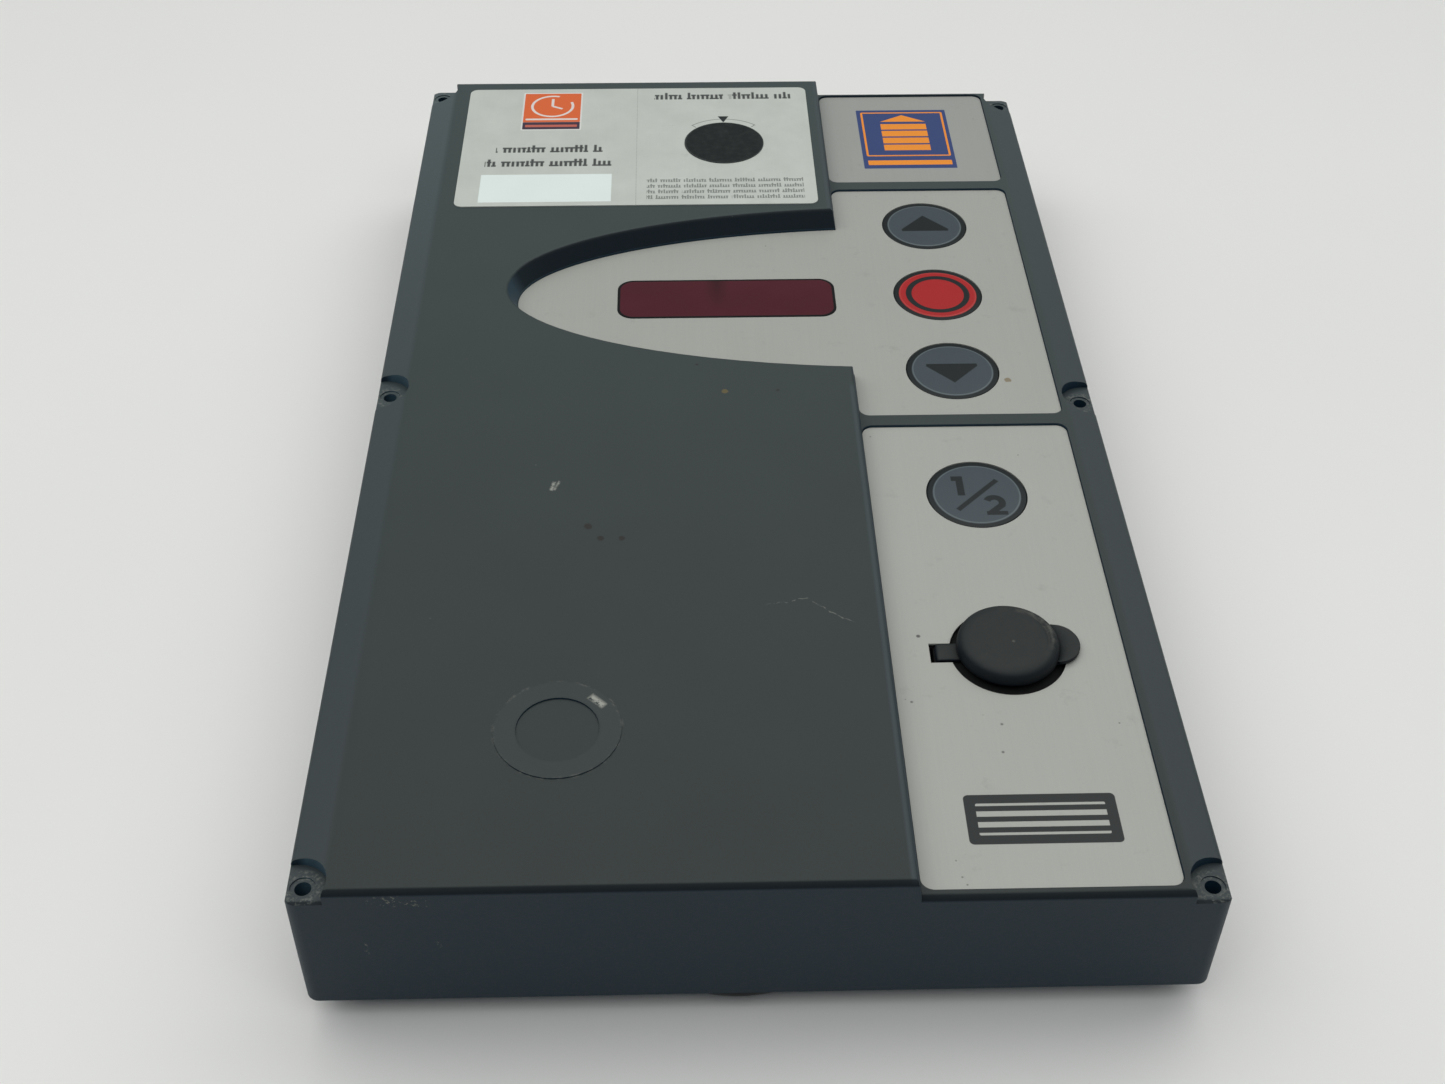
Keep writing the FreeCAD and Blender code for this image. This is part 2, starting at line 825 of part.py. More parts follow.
def lock_cap():
    """Rubber cap over the lock: hollow frustum, strap and pull tab."""
    top_z = foil_z + cap_height
    outer = Part.makeCone(
        cap_base_radius, cap_top_radius, top_z - cap_bottom_z, Vector(lock_x, lock_y, cap_bottom_z), UP
    )
    rim = [edge for edge in outer.Edges if edge.BoundBox.ZMin > top_z - 0.01]
    outer = outer.makeFillet(cap_shoulder_radius, rim)
    inner = Part.makeCone(
        cap_base_radius - cap_wall,
        cap_top_radius - cap_wall,
        top_z - cap_wall - cap_bottom_z,
        Vector(lock_x, lock_y, cap_bottom_z),
        UP,
    )
    strap = box(
        hinge_x,
        lock_x,
        lock_y - strap_width / 2,
        lock_y + strap_width / 2,
        hinge_z - strap_thickness / 2,
        hinge_z + strap_thickness / 2,
    )
    ear_z = foil_z + ear_lift
    ear_x = lock_x + ear_reach - ear_radius
    ear = fuse([
        rod(ear_x, lock_y, ear_z, ear_z + ear_thickness, ear_radius),
        box(lock_x, ear_x, lock_y - ear_radius, lock_y + ear_radius, ear_z, ear_z + ear_thickness),
    ])
    return fuse([outer, strap, ear]).cut(inner)


# ---------------------------------------------------------------- rear housing
def lug(x, y):
    """Lug that stands out from the housing wall under a cover boss."""
    side = math.copysign(1, x)
    top = housing_height
    low = top - lug_thickness
    if y == 0:
        arm_x = sorted((side * (housing_x - housing_wall), side * (half_width - lug_skin)))
        arm = box(*arm_x, -lug_half_width, lug_half_width, low, top)
    else:
        end = math.copysign(1, y)
        arm_x = sorted((side * (hole_x - lug_half_width), side * (half_width - lug_skin)))
        arm_y = sorted((end * (hole_y - lug_half_width), end * (half_length - lug_skin)))
        foot_x = sorted((side * (housing_x - lug_foot), side * (half_width - cover_wall - lug_foot_gap)))
        foot_y = sorted((end * (housing_y - lug_foot), end * (half_length - cover_wall - lug_foot_gap)))
        arm = box(*arm_x, *arm_y, low, top).fuse(box(*foot_x, *foot_y, low, top))
    return arm.cut(rod(x, y, 0, deck_z, lug_hole_radius))


def grommet_places():
    """Centres of the cable grommets in the housing floor."""
    y = -housing_y + grommet_end_gap
    middle = (grommet_count - 1) / 2
    return [((place - middle) * grommet_pitch, y) for place in range(grommet_count)]


def standoff_places():
    """Centres of the six standoffs under the control board."""
    half_x = control_board_width / 2 - standoff_inset
    half_y = control_board_length / 2 - standoff_inset
    return [(sx * half_x, control_board_y + sy * half_y) for sx in (-1, 1) for sy in (-1, 0, 1)]


def rear_housing():
    """Tray that is screwed to the wall and carries the control board."""
    tray = rounded_plate(
        -housing_x, housing_x, -housing_y, housing_y, 0, housing_height, housing_corner_radius
    )
    hollow = rounded_plate(
        -housing_x + housing_wall,
        housing_x - housing_wall,
        -housing_y + housing_wall,
        housing_y - housing_wall,
        housing_wall,
        housing_height + 1,
        housing_corner_radius - housing_wall,
    )
    parts = [tray.cut(hollow)]
    parts += [lug(x, y) for x, y in screw_places()]
    wall_holes = corners(wall_hole_spacing_x / 2, wall_hole_spacing_y / 2)
    parts += [rod(x, y, 0, housing_wall + wall_boss_height, wall_boss_radius) for x, y in wall_holes]
    parts += [rod(x, y, 0, control_board_z, standoff_radius) for x, y in standoff_places()]
    housing = fuse(parts)
    for x, y in wall_holes:
        housing = housing.cut(rod(x, y, -1, housing_height, wall_hole_radius))
    for x, y in standoff_places():
        pilot_bottom = control_board_top - board_screw_length - 0.5
        housing = housing.cut(rod(x, y, pilot_bottom, control_board_z + 1, screw_pilot_radius))
    for x, y in grommet_places():
        housing = housing.cut(rod(x, y, -1, housing_height, grommet_radius))
    return housing


def housing_seal():
    """Rubber seal round the outside of the housing, under the lugs."""
    z0 = cover_edge_z + seal_above_edge
    z1 = z0 + seal_height
    outer = rounded_plate(
        -housing_x - seal_thickness,
        housing_x + seal_thickness,
        -housing_y - seal_thickness,
        housing_y + seal_thickness,
        z0,
        z1,
        housing_corner_radius,
    )
    inner = rounded_plate(-housing_x, housing_x, -housing_y, housing_y, z0 - 1, z1 + 1, housing_corner_radius)
    return outer.cut(inner)


def cable_grommets():
    """Stepped rubber membranes in the floor's cable holes."""
    grommets = []
    for x, y in grommet_places():
        plug = rod(x, y, grommet_step, housing_wall, grommet_radius - grommet_fit)
        lip = rod(x, y, housing_wall, housing_wall + grommet_lip_thickness, grommet_radius + grommet_lip)
        nose = rod(x, y, housing_wall, housing_wall + grommet_nose_height, grommet_nose_radius)
        grommet = fuse([plug, lip, nose])
        membrane_z = housing_wall + grommet_nose_height - grommet_membrane
        grommet = grommet.cut(rod(x, y, -1, membrane_z, grommet_nose_radius - grommet_wall))
        grommets.append(grommet)
    return group(grommets)


# ---------------------------------------------------------------- control board
def on_board(x, y, width, length, height):
    """Component body standing on the control board."""
    return box(
        x - width / 2, x + width / 2, y - length / 2, y + length / 2, control_board_top, control_board_top + height
    )


def control_board():
    """Main board in the housing."""
    half_x = control_board_width / 2
    half_y = control_board_length / 2
    board = box(
        -half_x, half_x, control_board_y - half_y, control_board_y + half_y, control_board_z, control_board_top
    )
    for x, y in standoff_places():
        board = board.cut(rod(x, y, 0, deck_z, board_screw_radius + 0.2))
    return board


def control_board_screws():
    """Screws that hold the control board to its standoffs."""
    return group([pan_screw(x, y, control_board_top, -1) for x, y in standoff_places()])


transformer_x = -44.0
transformer_y = -52.0
core_width = 44.0
core_height = 30.0
core_depth = 15.0
core_leg = 7.4
coil_depth = 28.0


def transformer_core():
    """Laminated core: a frame with a middle leg."""
    core = on_board(transformer_x, transformer_y, core_width, core_depth, core_height)
    window_width_x = (core_width - 4 * core_leg) / 2
    for side in (-1, 1):
        middle = transformer_x + side * (core_leg + window_width_x / 2)
        window = box(
            middle - window_width_x / 2,
            middle + window_width_x / 2,
            transformer_y - core_depth,
            transformer_y + core_depth,
            control_board_top + core_leg,
            control_board_top + core_height - core_leg,
        )
        core = core.cut(window)
    return core


def transformer_coil():
    """Winding round the middle leg."""
    reach = core_width / 2 - core_leg - component_fit
    low = control_board_top + core_leg + component_fit
    high = control_board_top + core_height - core_leg - component_fit
    coil = box(
        transformer_x - reach,
        transformer_x + reach,
        transformer_y - coil_depth / 2,
        transformer_y + coil_depth / 2,
        low,
        high,
    )
    leg = core_leg + component_fit
    half_depth = core_depth / 2 + component_fit
    tunnel = box(
        transformer_x - leg,
        transformer_x + leg,
        transformer_y - half_depth,
        transformer_y + half_depth,
        low - 1,
        high + 1,
    )
    return coil.cut(tunnel)


def relays():
    """Four relays in a row."""
    return group([on_board(-58 + 17 * place, 104, 12.6, 28.4, 15.4) for place in range(4)])


def capacitors():
    """Smoothing capacitors beside the transformer."""
    cans = []
    for place in range(3):
        can = rod(-4 + 14 * place, -62, control_board_top, control_board_top + 14, 5.0)
        rim = [edge for edge in can.Edges if edge.BoundBox.ZMin > control_board_top + 13.9]
        cans.append(can.makeFillet(0.8, rim))
    return group(cans)


fuse_x = -58.0
fuse_y = 10.0
fuse_length = 20.0
fuse_radius = 2.55


def fuse_holder():
    """Cradle with two end clips for the glass fuse."""
    base = on_board(fuse_x, fuse_y, 8.0, 24.0, 3.0)
    axis_z = control_board_top + 6.2
    clips = []
    for end in (-1, 1):
        y = fuse_y + end * 7.5
        clips.append(box(fuse_x - 3.6, fuse_x + 3.6, y - 2, y + 2, control_board_top + 2, axis_z + 1.5))
    holder = fuse([base] + clips)
    return holder.cut(rod_along_y(fuse_x, axis_z, fuse_y - 15, fuse_y + 15, fuse_radius + 0.05))


def glass_fuse():
    """Fuse in its clips."""
    return rod_along_y(
        fuse_x, control_board_top + 6.2, fuse_y - fuse_length / 2, fuse_y + fuse_length / 2, fuse_radius
    )


terminal_pitch = 5.08
terminal_ways = 12
terminal_depth = 9.6
terminal_height = 10.4
terminal_y = -86.0


def terminal_ways_x(block):
    """X of each way in one of the two terminal blocks."""
    start = -36.0 - terminal_ways * terminal_pitch / 2 + block * 72.0
    return [start + terminal_pitch * (way + 0.5) for way in range(terminal_ways)]


def terminal_blocks():
    """Screw terminals along the bottom edge of the board."""
    blocks = []
    for block in range(2):
        ways = terminal_ways_x(block)
        middle = (ways[0] + ways[-1]) / 2
        body = on_board(middle, terminal_y, terminal_ways * terminal_pitch, terminal_depth, terminal_height)
        top = control_board_top + terminal_height
        for x in ways:
            body = body.cut(rod(x, terminal_y + 1, top - 3, top + 1, 1.9))
            front = terminal_y - terminal_depth / 2
            body = body.cut(box(x - 1.6, x + 1.6, front - 1, front + 4, control_board_top + 2, control_board_top + 5))
        blocks.append(body)
    return group(blocks)


def terminal_screws():
    """Slotted screws in the terminal blocks."""
    screws = []
    floor = control_board_top + terminal_height - 3
    for block in range(2):
        for x in terminal_ways_x(block):
            screw = rod(x, terminal_y + 1, floor, floor + 2.2, 1.8)
            screws.append(screw.cut(box(x - 2, x + 2, terminal_y + 0.7, terminal_y + 1.3, floor + 1.5, floor + 3)))
    return group(screws)


def microcontroller():
    """Flat chip in the middle of the board."""
    return on_board(10, 30, 12, 12, 1.5)


# ---------------------------------------------------------------- build
def nodes():
    """Every node of the unit by name."""
    made = {
        "front_cover": front_cover(),
        "service_label": service_label(),
        "label_badge": label_badge(),
        "top_panel": top_panel(),
        "upper_keypad_panel": upper_keypad_panel(),
        "lower_keypad_panel": lower_keypad_panel(),
        "display_window": display_window(),
        "strap_anchor": strap_anchor(),
        "lock_cap": lock_cap(),
        "lock_body": lock_body(),
        "lock_nut": lock_nut(),
        "lock_core": lock_core(),
        "lock_cam": lock_cam(),
        "cam_screw": cam_screw(),
        "microswitch": microswitch(),
        "microswitch_screws": microswitch_screws(),
        "keypad_board": keypad_board(),
        "keypad_board_screws": keypad_board_screws(),
        "key_switches": key_switches(),
        "digit_display": digit_display(),
        "keypad_socket": keypad_socket(),
        "rear_housing": rear_housing(),
        "housing_seal": housing_seal(),
        "cable_grommets": cable_grommets(),
        "control_board": control_board(),
        "control_board_screws": control_board_screws(),
        "control_header": control_header(),
        "transformer_core": transformer_core(),
        "transformer_coil": transformer_coil(),
        "relays": relays(),
        "capacitors": capacitors(),
        "fuse_holder": fuse_holder(),
        "glass_fuse": glass_fuse(),
        "terminal_blocks": terminal_blocks(),
        "terminal_screws": terminal_screws(),
        "microcontroller": microcontroller(),
    }
    for name, y in key_places.items():
        made[name] = key_cap(y)
    return made


os.makedirs("parts", exist_ok=True)
for name, shape in nodes().items():
    shape.exportStep(f"parts/{name}.step")
    box_of = shape.BoundBox
    print(
        f"{name}: {len(shape.Solids)} solid(s), valid {shape.isValid()}, volume {shape.Volume:.0f} mm3,"
        f" x {box_of.XMin:.1f} {box_of.XMax:.1f}, y {box_of.YMin:.1f} {box_of.YMax:.1f},"
        f" z {box_of.ZMin:.1f} {box_of.ZMax:.1f}"
    )
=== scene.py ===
# %% [markdown]
# # Wall control unit of a garage door operator
# The object is the moulded front cover of a control unit, lying on its back on a
# table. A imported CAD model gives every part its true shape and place. This lesson
# loads that model, gives each part a finish worked out in shader nodes, and rebuilds
# the few pieces whose soft shapes the CAD only blocks out: the keys, the rubber cap
# over the key lock, its strap, and a loop of the seal.

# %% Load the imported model
import math

import bmesh
import bpy
import numpy as np
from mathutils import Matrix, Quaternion, Vector


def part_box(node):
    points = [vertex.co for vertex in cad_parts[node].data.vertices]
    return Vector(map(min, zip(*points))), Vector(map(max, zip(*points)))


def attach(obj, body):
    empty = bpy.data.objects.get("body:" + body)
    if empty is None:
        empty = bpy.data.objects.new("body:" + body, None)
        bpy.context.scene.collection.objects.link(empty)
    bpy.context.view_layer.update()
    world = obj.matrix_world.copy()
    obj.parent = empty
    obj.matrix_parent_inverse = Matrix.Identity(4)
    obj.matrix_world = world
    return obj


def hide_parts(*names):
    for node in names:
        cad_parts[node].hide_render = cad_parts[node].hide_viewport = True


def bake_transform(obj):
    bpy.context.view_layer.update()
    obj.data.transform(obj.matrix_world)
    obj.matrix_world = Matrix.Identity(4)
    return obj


MM = 0.001  # one millimetre in the scene's metres

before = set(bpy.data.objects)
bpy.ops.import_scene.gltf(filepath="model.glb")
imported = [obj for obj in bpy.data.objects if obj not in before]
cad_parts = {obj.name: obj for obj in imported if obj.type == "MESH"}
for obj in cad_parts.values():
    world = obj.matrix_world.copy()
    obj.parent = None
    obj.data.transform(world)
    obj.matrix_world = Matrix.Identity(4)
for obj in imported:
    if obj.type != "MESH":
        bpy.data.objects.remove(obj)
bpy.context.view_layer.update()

# %% [markdown]
# ## Arithmetic on wires
# A finish is a small calculation: how far is this point from the edge of a printed
# ring, and is it inside? Blender draws such sums as chains of Math nodes. The class
# below wraps one output socket and lets Python's own signs add those nodes, so a
# pattern can be written down as a formula.

# %% A wire, and the one method that adds any node
class Wire:
    """An output of a material's node tree; arithmetic on it adds Math nodes."""

    def __init__(self, socket):
        self.socket = socket

    def node(self, kind, settings=None, inputs=None, output=0):
        """Adds a node: its settings first, then a value or a Wire for each input."""
        tree = self.socket.id_data
        made = tree.nodes.new(kind)
        for name, value in (settings or {}).items():
            setattr(made, name, value)
        for name, value in (inputs or {}).items():
            if isinstance(value, Wire):
                tree.links.new(value.socket, made.inputs[name])
            else:
                made.inputs[name].default_value = value
        return Wire(made.outputs[output])

    def beside(self, output):
        """Another output of the node that this wire comes from."""
        return Wire(self.socket.node.outputs[output])

    def math(self, operation, *inputs):
        return self.node("ShaderNodeMath", {"operation": operation}, dict(enumerate(inputs)))

    def __add__(self, other):
        return self.math("ADD", self, other)

    __radd__ = __add__

    def __sub__(self, other):
        return self.math("SUBTRACT", self, other)

    def __rsub__(self, other):
        return self.math("SUBTRACT", other, self)

    def __mul__(self, other):
        return self.math("MULTIPLY", self, other)

    __rmul__ = __mul__

    def __truediv__(self, other):
        return self.math("DIVIDE", self, other)

    def __abs__(self):
        return self.math("ABSOLUTE", self)

    def floor(self):
        return self.math("FLOOR", self)

    def fract(self):
        return self.math("FRACT", self)

    def root(self):
        return self.math("SQRT", self)

    def at_least(self, other):
        return self.math("MAXIMUM", self, other)

    def at_most(self, other):
        return self.math("MINIMUM", self, other)

    def clamp(self):
        return self.at_least(0.0).at_most(1.0)

    def ramp(self, low, high):
        """0 below low, 1 above high, straight between; low may be above high."""
        return ((self - low) / (high - low)).clamp()


# %% [markdown]
# ## Starting and closing a material
# Every finish reads the place on the object in millimetres, because a key ring or a
# printed line is easiest to describe in the units of its drawing. Numbers that are the
# same all over the surface are typed into the shader; only what varies is wired.

# %% Start a material and wire its shader
def start(name):
    """A new material, and a wire that carries the place on the object in millimetres."""
    material = bpy.data.materials.new(name)
    material.use_nodes = True
    first = Wire(material.node_tree.nodes["Principled BSDF"].outputs[0])
    place = first.node("ShaderNodeTexCoord", output="Object")
    place = place.node("ShaderNodeVectorMath", {"operation": "SCALE"}, {0: place, "Scale": 1 / MM})
    return material, place


def axes(vector):
    """The x, y and z of a wire that carries a vector."""
    x = vector.node("ShaderNodeSeparateXYZ", inputs={0: vector})
    return x, x.beside("Y"), x.beside("Z")


def facing_of(place):
    """The x, y and z of the direction that the surface faces."""
    return axes(place.node("ShaderNodeTexCoord", output="Normal"))


def close(material, sockets):
    """Sets the shader's sockets: a wire is linked, anything else is typed in."""
    shader = material.node_tree.nodes["Principled BSDF"]
    for name, value in sockets.items():
        if isinstance(value, Wire):
            material.node_tree.links.new(value.socket, shader.inputs[name])
        else:
            shader.inputs[name].default_value = value
    print("finish", material.name, "uses", len(material.node_tree.nodes), "nodes")
    return material


def colour(red, green, blue):
    """A screen colour from 0 to 255, made linear as the shader needs it."""
    return (*(((c / 255 + 0.055) / 1.055) ** 2.4 for c in (red, green, blue)), 1.0)


# %% Patterns shared by the finishes
def mix(mask, under, over):
    """under where the mask is 0, over where it is 1; both are colours."""
    return mask.node("ShaderNodeMix", {"data_type": "RGBA"}, {0: mask, 6: under, 7: over}, 2)


def shade(base, amount):
    """A colour made lighter or darker: every channel times the wire amount."""
    vector = base[:3] if isinstance(base, tuple) else base
    return amount.node("ShaderNodeVectorMath", {"operation": "SCALE"}, {0: vector, "Scale": amount})


def stretch(place, sx, sy, sz):
    """The place with each axis scaled; a small factor draws a pattern out along that axis."""
    return place.node("ShaderNodeVectorMath", {"operation": "MULTIPLY"}, {0: place, 1: (sx, sy, sz)})


def noise(place, scale, detail=2.0, roughness=0.5):
    """Cloudy values round 0.5, with about scale clouds in a millimetre."""
    return place.node(
        "ShaderNodeTexNoise", {}, {"Vector": place, "Scale": scale, "Detail": detail, "Roughness": roughness}
    )


def random(number):
    """One fixed random value from 0 to 1 for each whole number."""
    return number.node("ShaderNodeTexWhiteNoise", {"noise_dimensions": "1D"}, {"W": number}, "Value")


def specks(place, scale, size, share):
    """Round specks: a scattered point is closer than size, in a share of the cells."""
    cell = place.node("ShaderNodeTexVoronoi", {}, {"Vector": place, "Scale": scale}, "Distance")
    chosen, _, _ = axes(cell.beside("Color"))
    return cell.ramp(size * scale, size * scale * 0.5) * chosen.ramp(share, share - 0.02)


def relief(height, distance, strength=1.0, under=None):
    """A bump: the surface leans as if it were raised by height times distance, in metres."""
    inputs = {"Strength": strength, "Distance": distance, "Height": height}
    if under:
        inputs["Normal"] = under
    return height.node("ShaderNodeBump", {}, inputs)


# %% Signed distances for printed shapes
def disc(x, y, centre, radius):
    """How far a point lies outside a circle."""
    dx, dy = x - centre[0], y - centre[1]
    return (dx * dx + dy * dy).root() - radius


def plate(x, y, centre, size, radius=0.3):
    """How far a point lies outside a rectangle with rounded corners; below 0 inside."""
    past_x = abs(x - centre[0]) - (size[0] / 2 - radius)
    past_y = abs(y - centre[1]) - (size[1] / 2 - radius)
    over_x, over_y = past_x.at_least(0.0), past_y.at_least(0.0)
    return (over_x * over_x + over_y * over_y).root() + past_x.at_least(past_y).at_most(0.0) - radius


def half_plane(x, y, point, angle):
    """How far a point lies in front of a line through point whose normal has that angle."""
    c, s = math.cos(math.radians(angle)), math.sin(math.radians(angle))
    return (x - point[0]) * c + (y - point[1]) * s


def stroke(x, y, start_point, end_point, width):
    """How far a point lies outside a straight bar between two points."""
    (x0, y0), (x1, y1) = start_point, end_point
    length = math.hypot(x1 - x0, y1 - y0)
    c, s = (x1 - x0) / length, (y1 - y0) / length
    along = (x - x0) * c + (y - y0) * s
    across = (y - y0) * c - (x - x0) * s
    return (abs(along - length / 2) - length / 2).at_least(abs(across) - width / 2)


def ink(distance, soft=0.12):
    """1 inside a shape and 0 outside, over a soft printed edge."""
    return (0.5 - distance / soft).clamp()


# %% [markdown]
# ## Meshes from numpy
# A piece with a soft shape is a surface over a grid: its points are worked out as whole
# arrays, and neighbouring points make the quads.

# %% Grids and turned surfaces
def grid_faces(rows, columns, wrap):
    """Quads of a grid of points numbered row by row; with wrap the last column joins the first."""
    r, c = np.meshgrid(np.arange(rows - 1), np.arange(columns - (not wrap)), indexing="ij")
    here, after = r * columns, (c + 1) % columns
    quads = np.stack([here + c, here + after, here + columns + after, here + columns + c], -1)
    return quads.reshape(-1, 4)


def box_in_mm(node):
    """The low and the high corner of a CAD node's box, in millimetres."""
    low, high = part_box(node)
    return np.array(low) / MM, np.array(high) / MM


def directions(path):
    """Unit vectors along a path of points, one for each point."""
    steps = np.gradient(path, axis=0)
    return steps / np.linalg.norm(steps, axis=1, keepdims=True)


def make_piece(name, points, faces, material):
    """A smooth mesh from points in millimetres; doubles are merged, normals face out."""
    mesh = bpy.data.meshes.new(name)
    mesh.from_pydata((points.reshape(-1, 3) * MM).tolist(), [], faces.tolist())
    work = bmesh.new()
    work.from_mesh(mesh)
    bmesh.ops.remove_doubles(work, verts=work.verts, dist=1e-7)
    bmesh.ops.recalc_face_normals(work, faces=work.faces)
    work.to_mesh(mesh)
    work.free()
    mesh.shade_smooth()
    mesh.materials.append(material)
    piece = bpy.data.objects.new(name, mesh)
    bpy.context.scene.collection.objects.link(piece)
    print(name, "has", len(mesh.polygons), "faces")
    return piece


def soften(profile, steps):
    """Rounds a profile's corners: each pass puts points at 1/4 and 3/4 of every run."""
    for _ in range(steps):
        before, after = profile[:-1], profile[1:]
        inner = np.stack([0.75 * before + 0.25 * after, 0.25 * before + 0.75 * after], 1)
        profile = np.concatenate([profile[:1], inner.reshape(-1, profile.shape[1]), profile[-1:]])
    return profile


TURN_STEPS = 128


def turn(profile, centre):
    """(radius, height) pairs carried round a vertical axis: a grid of points, and its angles.

    A point at radius r and angle a stands at x = centre x + r cos a, y = centre y + r sin a.
    """
    angle = np.linspace(0, 2 * np.pi, TURN_STEPS, endpoint=False)
    radius, height = profile[:, :1], profile[:, 1:]
    x = centre[0] + radius * np.cos(angle)
    y = centre[1] + radius * np.sin(angle)
    return np.stack([x, y, np.broadcast_to(height, x.shape)], -1), angle


# %% [markdown]
# ## Camera, table and light
# The camera stands near and above the lower end of the cover, so the far end narrows.
# The table is pale and plain. A wide soft lamp hangs above and beyond the far end,
# which leaves the near wall in shade and throws a short soft shadow forward. A weaker
# lamp above the camera stands for the light that comes back from the ceiling.

# %% Camera
scene = bpy.context.scene
camera = bpy.data.objects.new("camera", bpy.data.cameras.new("camera"))
scene.collection.objects.link(camera)
scene.camera = camera
camera.data.lens = 45.39
camera.data.sensor_width = 36.0
camera.location = (-0.01585, -0.40546, 0.35608)
aim = Vector((-0.00594, -0.06621, 0.0468)) - camera.location
roll = Quaternion((0, 0, 1), math.radians(0.344))
camera.rotation_mode = "QUATERNION"
camera.rotation_quaternion = aim.to_track_quat("-Z", "Y") @ roll
print("camera", round(aim.length, 3), "m from the deck")

# %% Table
table_finish, place = start("table_top")
cloud = noise(place, 0.004, 3.0)
close(table_finish, {
    "Base Color": shade((0.80, 0.80, 0.785), 0.97 + 0.06 * cloud),
    "Roughness": 0.42,
    "Specular IOR Level": 0.3,
    "Normal": relief(noise(place, 0.6, 3.0), 0.00002),
})
TABLE_REACH, TABLE_POINTS = 2500.0, 5
side = np.linspace(-TABLE_REACH, TABLE_REACH, TABLE_POINTS)
grid = np.stack(np.meshgrid(side, side, [0.0], indexing="ij"), -1)
table = make_piece("table", grid, grid_faces(TABLE_POINTS, TABLE_POINTS, False), table_finish)
if table.data.polygons[0].normal.z < 0:
    table.data.flip_normals()

# %% Lamps and sky
def lamp(name, place, target, size, watts, tint=(1, 1, 1)):
    """A soft rectangular lamp at place, turned to face target."""
    light = bpy.data.lights.new(name, "AREA")
    light.shape = "RECTANGLE"
    light.size, light.size_y = size
    light.energy = watts
    light.color = tint
    made = bpy.data.objects.new(name, light)
    made.location = place
    made.rotation_mode = "QUATERNION"
    made.rotation_quaternion = (Vector(target) - Vector(place)).to_track_quat("-Z", "Y")
    scene.collection.objects.link(made)


lamp("overhead_lamp", (-0.1, 0.52, 1.50), (0, 0.05, 0), (4.4, 1.5), 29.5, (1.0, 0.985, 0.955))
lamp("ceiling_bounce", (0.0, -1.00, 1.90), (0, -0.15, 0), (3.2, 1.0), 17.0, (1.0, 1.0, 0.99))
sky = bpy.data.worlds.new("room")
sky.use_nodes = True
backdrop = Wire(sky.node_tree.nodes["Background"].outputs[0])
_, toward_far_end, _ = axes(backdrop.node("ShaderNodeTexCoord", output="Generated"))
beyond = (toward_far_end * 0.5 + 0.5).clamp()
glow = mix(beyond * beyond, (0.085, 0.100, 0.115, 1.0), (0.35, 0.365, 0.365, 1.0))
sky.node_tree.links.new(glow.socket, sky.node_tree.nodes["Background"].inputs["Color"])
scene.world = sky
scene.view_settings.view_transform = "Standard"
scene.view_settings.look = "None"


# %% Dress a CAD part in a finish
def dress(material, *nodes):
    """Puts one finish on CAD nodes, whose meshes stay as they are."""
    for name in nodes:
        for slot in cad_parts[name].material_slots:
            slot.material = material


# %% [markdown]
# ## The cover
# Tough grey-green plastic, moulded against a finely eroded tool: the skin has an even
# grain of a few tenths of a millimetre. Years on a garage wall left a chip on the
# knock-out's ring, a few rusty splashes and hairline scratches by the lower step.

# %% Cover: places on it, in millimetres
def spot(x, y, place, centre, radius, ragged=0.6):
    """A small stain with a ragged edge."""
    return ink(disc(x, y, centre, radius) + (noise(place, 1.3, 3.0) - 0.5) * (2.5 * ragged), 0.3)


HALF_WIDTH, HALF_LENGTH = 101.0, 173.0
LOCK = (62.05, -100.4)
KNOCK_OUT = (-44.9, -128.4)
CORNER_HOLE, MIDDLE_HOLE = (97.1, 168.5), (97.1, 0.0)

cover_finish, place = start("cover_plastic")
x, y, z = axes(place)
_, faces_far, faces_up = facing_of(place)
mottle = noise(place, 0.035, 3.0)
fine = noise(place, 0.9, 2.0)
on_top = z.ramp(38.0, 39.0)
across = abs(x)

# %% Cover: the tone of each face, with painted light and shade: lighter towards the far end, lit side bands, a highlight on the step's lip, walls in painted shade and a dark near rim
# Painted light: the colour grows lighter towards the far end, standing in for the lamp beyond it.
far_end_light = y.ramp(-HALF_LENGTH, HALF_LENGTH)
body = shade((0.0275, 0.0400, 0.0405), (0.51 + 0.74 * far_end_light) + 0.16 * mottle + 0.12 * fine)
# Painted light: the sloping side bands are lighter, more so towards the far end and on the left.
band = across.ramp(91.5, 93.0)
band_painted_light = 1.00 + (0.40 + 0.70 * x.ramp(0.0, -1.0)) * far_end_light * far_end_light
body = mix(band, body, shade((0.0310, 0.0430, 0.0460), band_painted_light))
# Painted highlight: a pale strip along the lip of the step beside the column.
step_lip_highlight = ink(abs(x - 31.8) - 0.7, 0.6) * y.ramp(-1.0, -3.0).at_least(y.ramp(88.0, 90.0))
body = mix(step_lip_highlight * 0.6, body, (0.044, 0.062, 0.072, 1.0))
# Painted shade: faces that turn sideways are painted darker and bluer than the top, and the recess wall is
# darkest away from its left end.
shaded_wall = faces_up.ramp(0.75, 0.35)
end_wall = y.ramp(5.0 - HALF_LENGTH, 3.0 - HALF_LENGTH)
end_wall = end_wall.at_least(y.ramp(HALF_LENGTH - 5.0, HALF_LENGTH - 3.0))
outer_wall = end_wall.at_least(across.ramp(HALF_WIDTH - 4.0, HALF_WIDTH - 2.0))
recess_wall_shade = mix(x.ramp(-56.0, -76.0), (0.0090, 0.0320, 0.0560, 1.0), (0.0520, 0.1000, 0.1350, 1.0))
wall_shade_tone = mix(outer_wall, recess_wall_shade, (0.0070, 0.0225, 0.0360, 1.0))
body = mix(shaded_wall, body, shade(wall_shade_tone, 0.86 + 0.16 * mottle + 0.12 * fine))
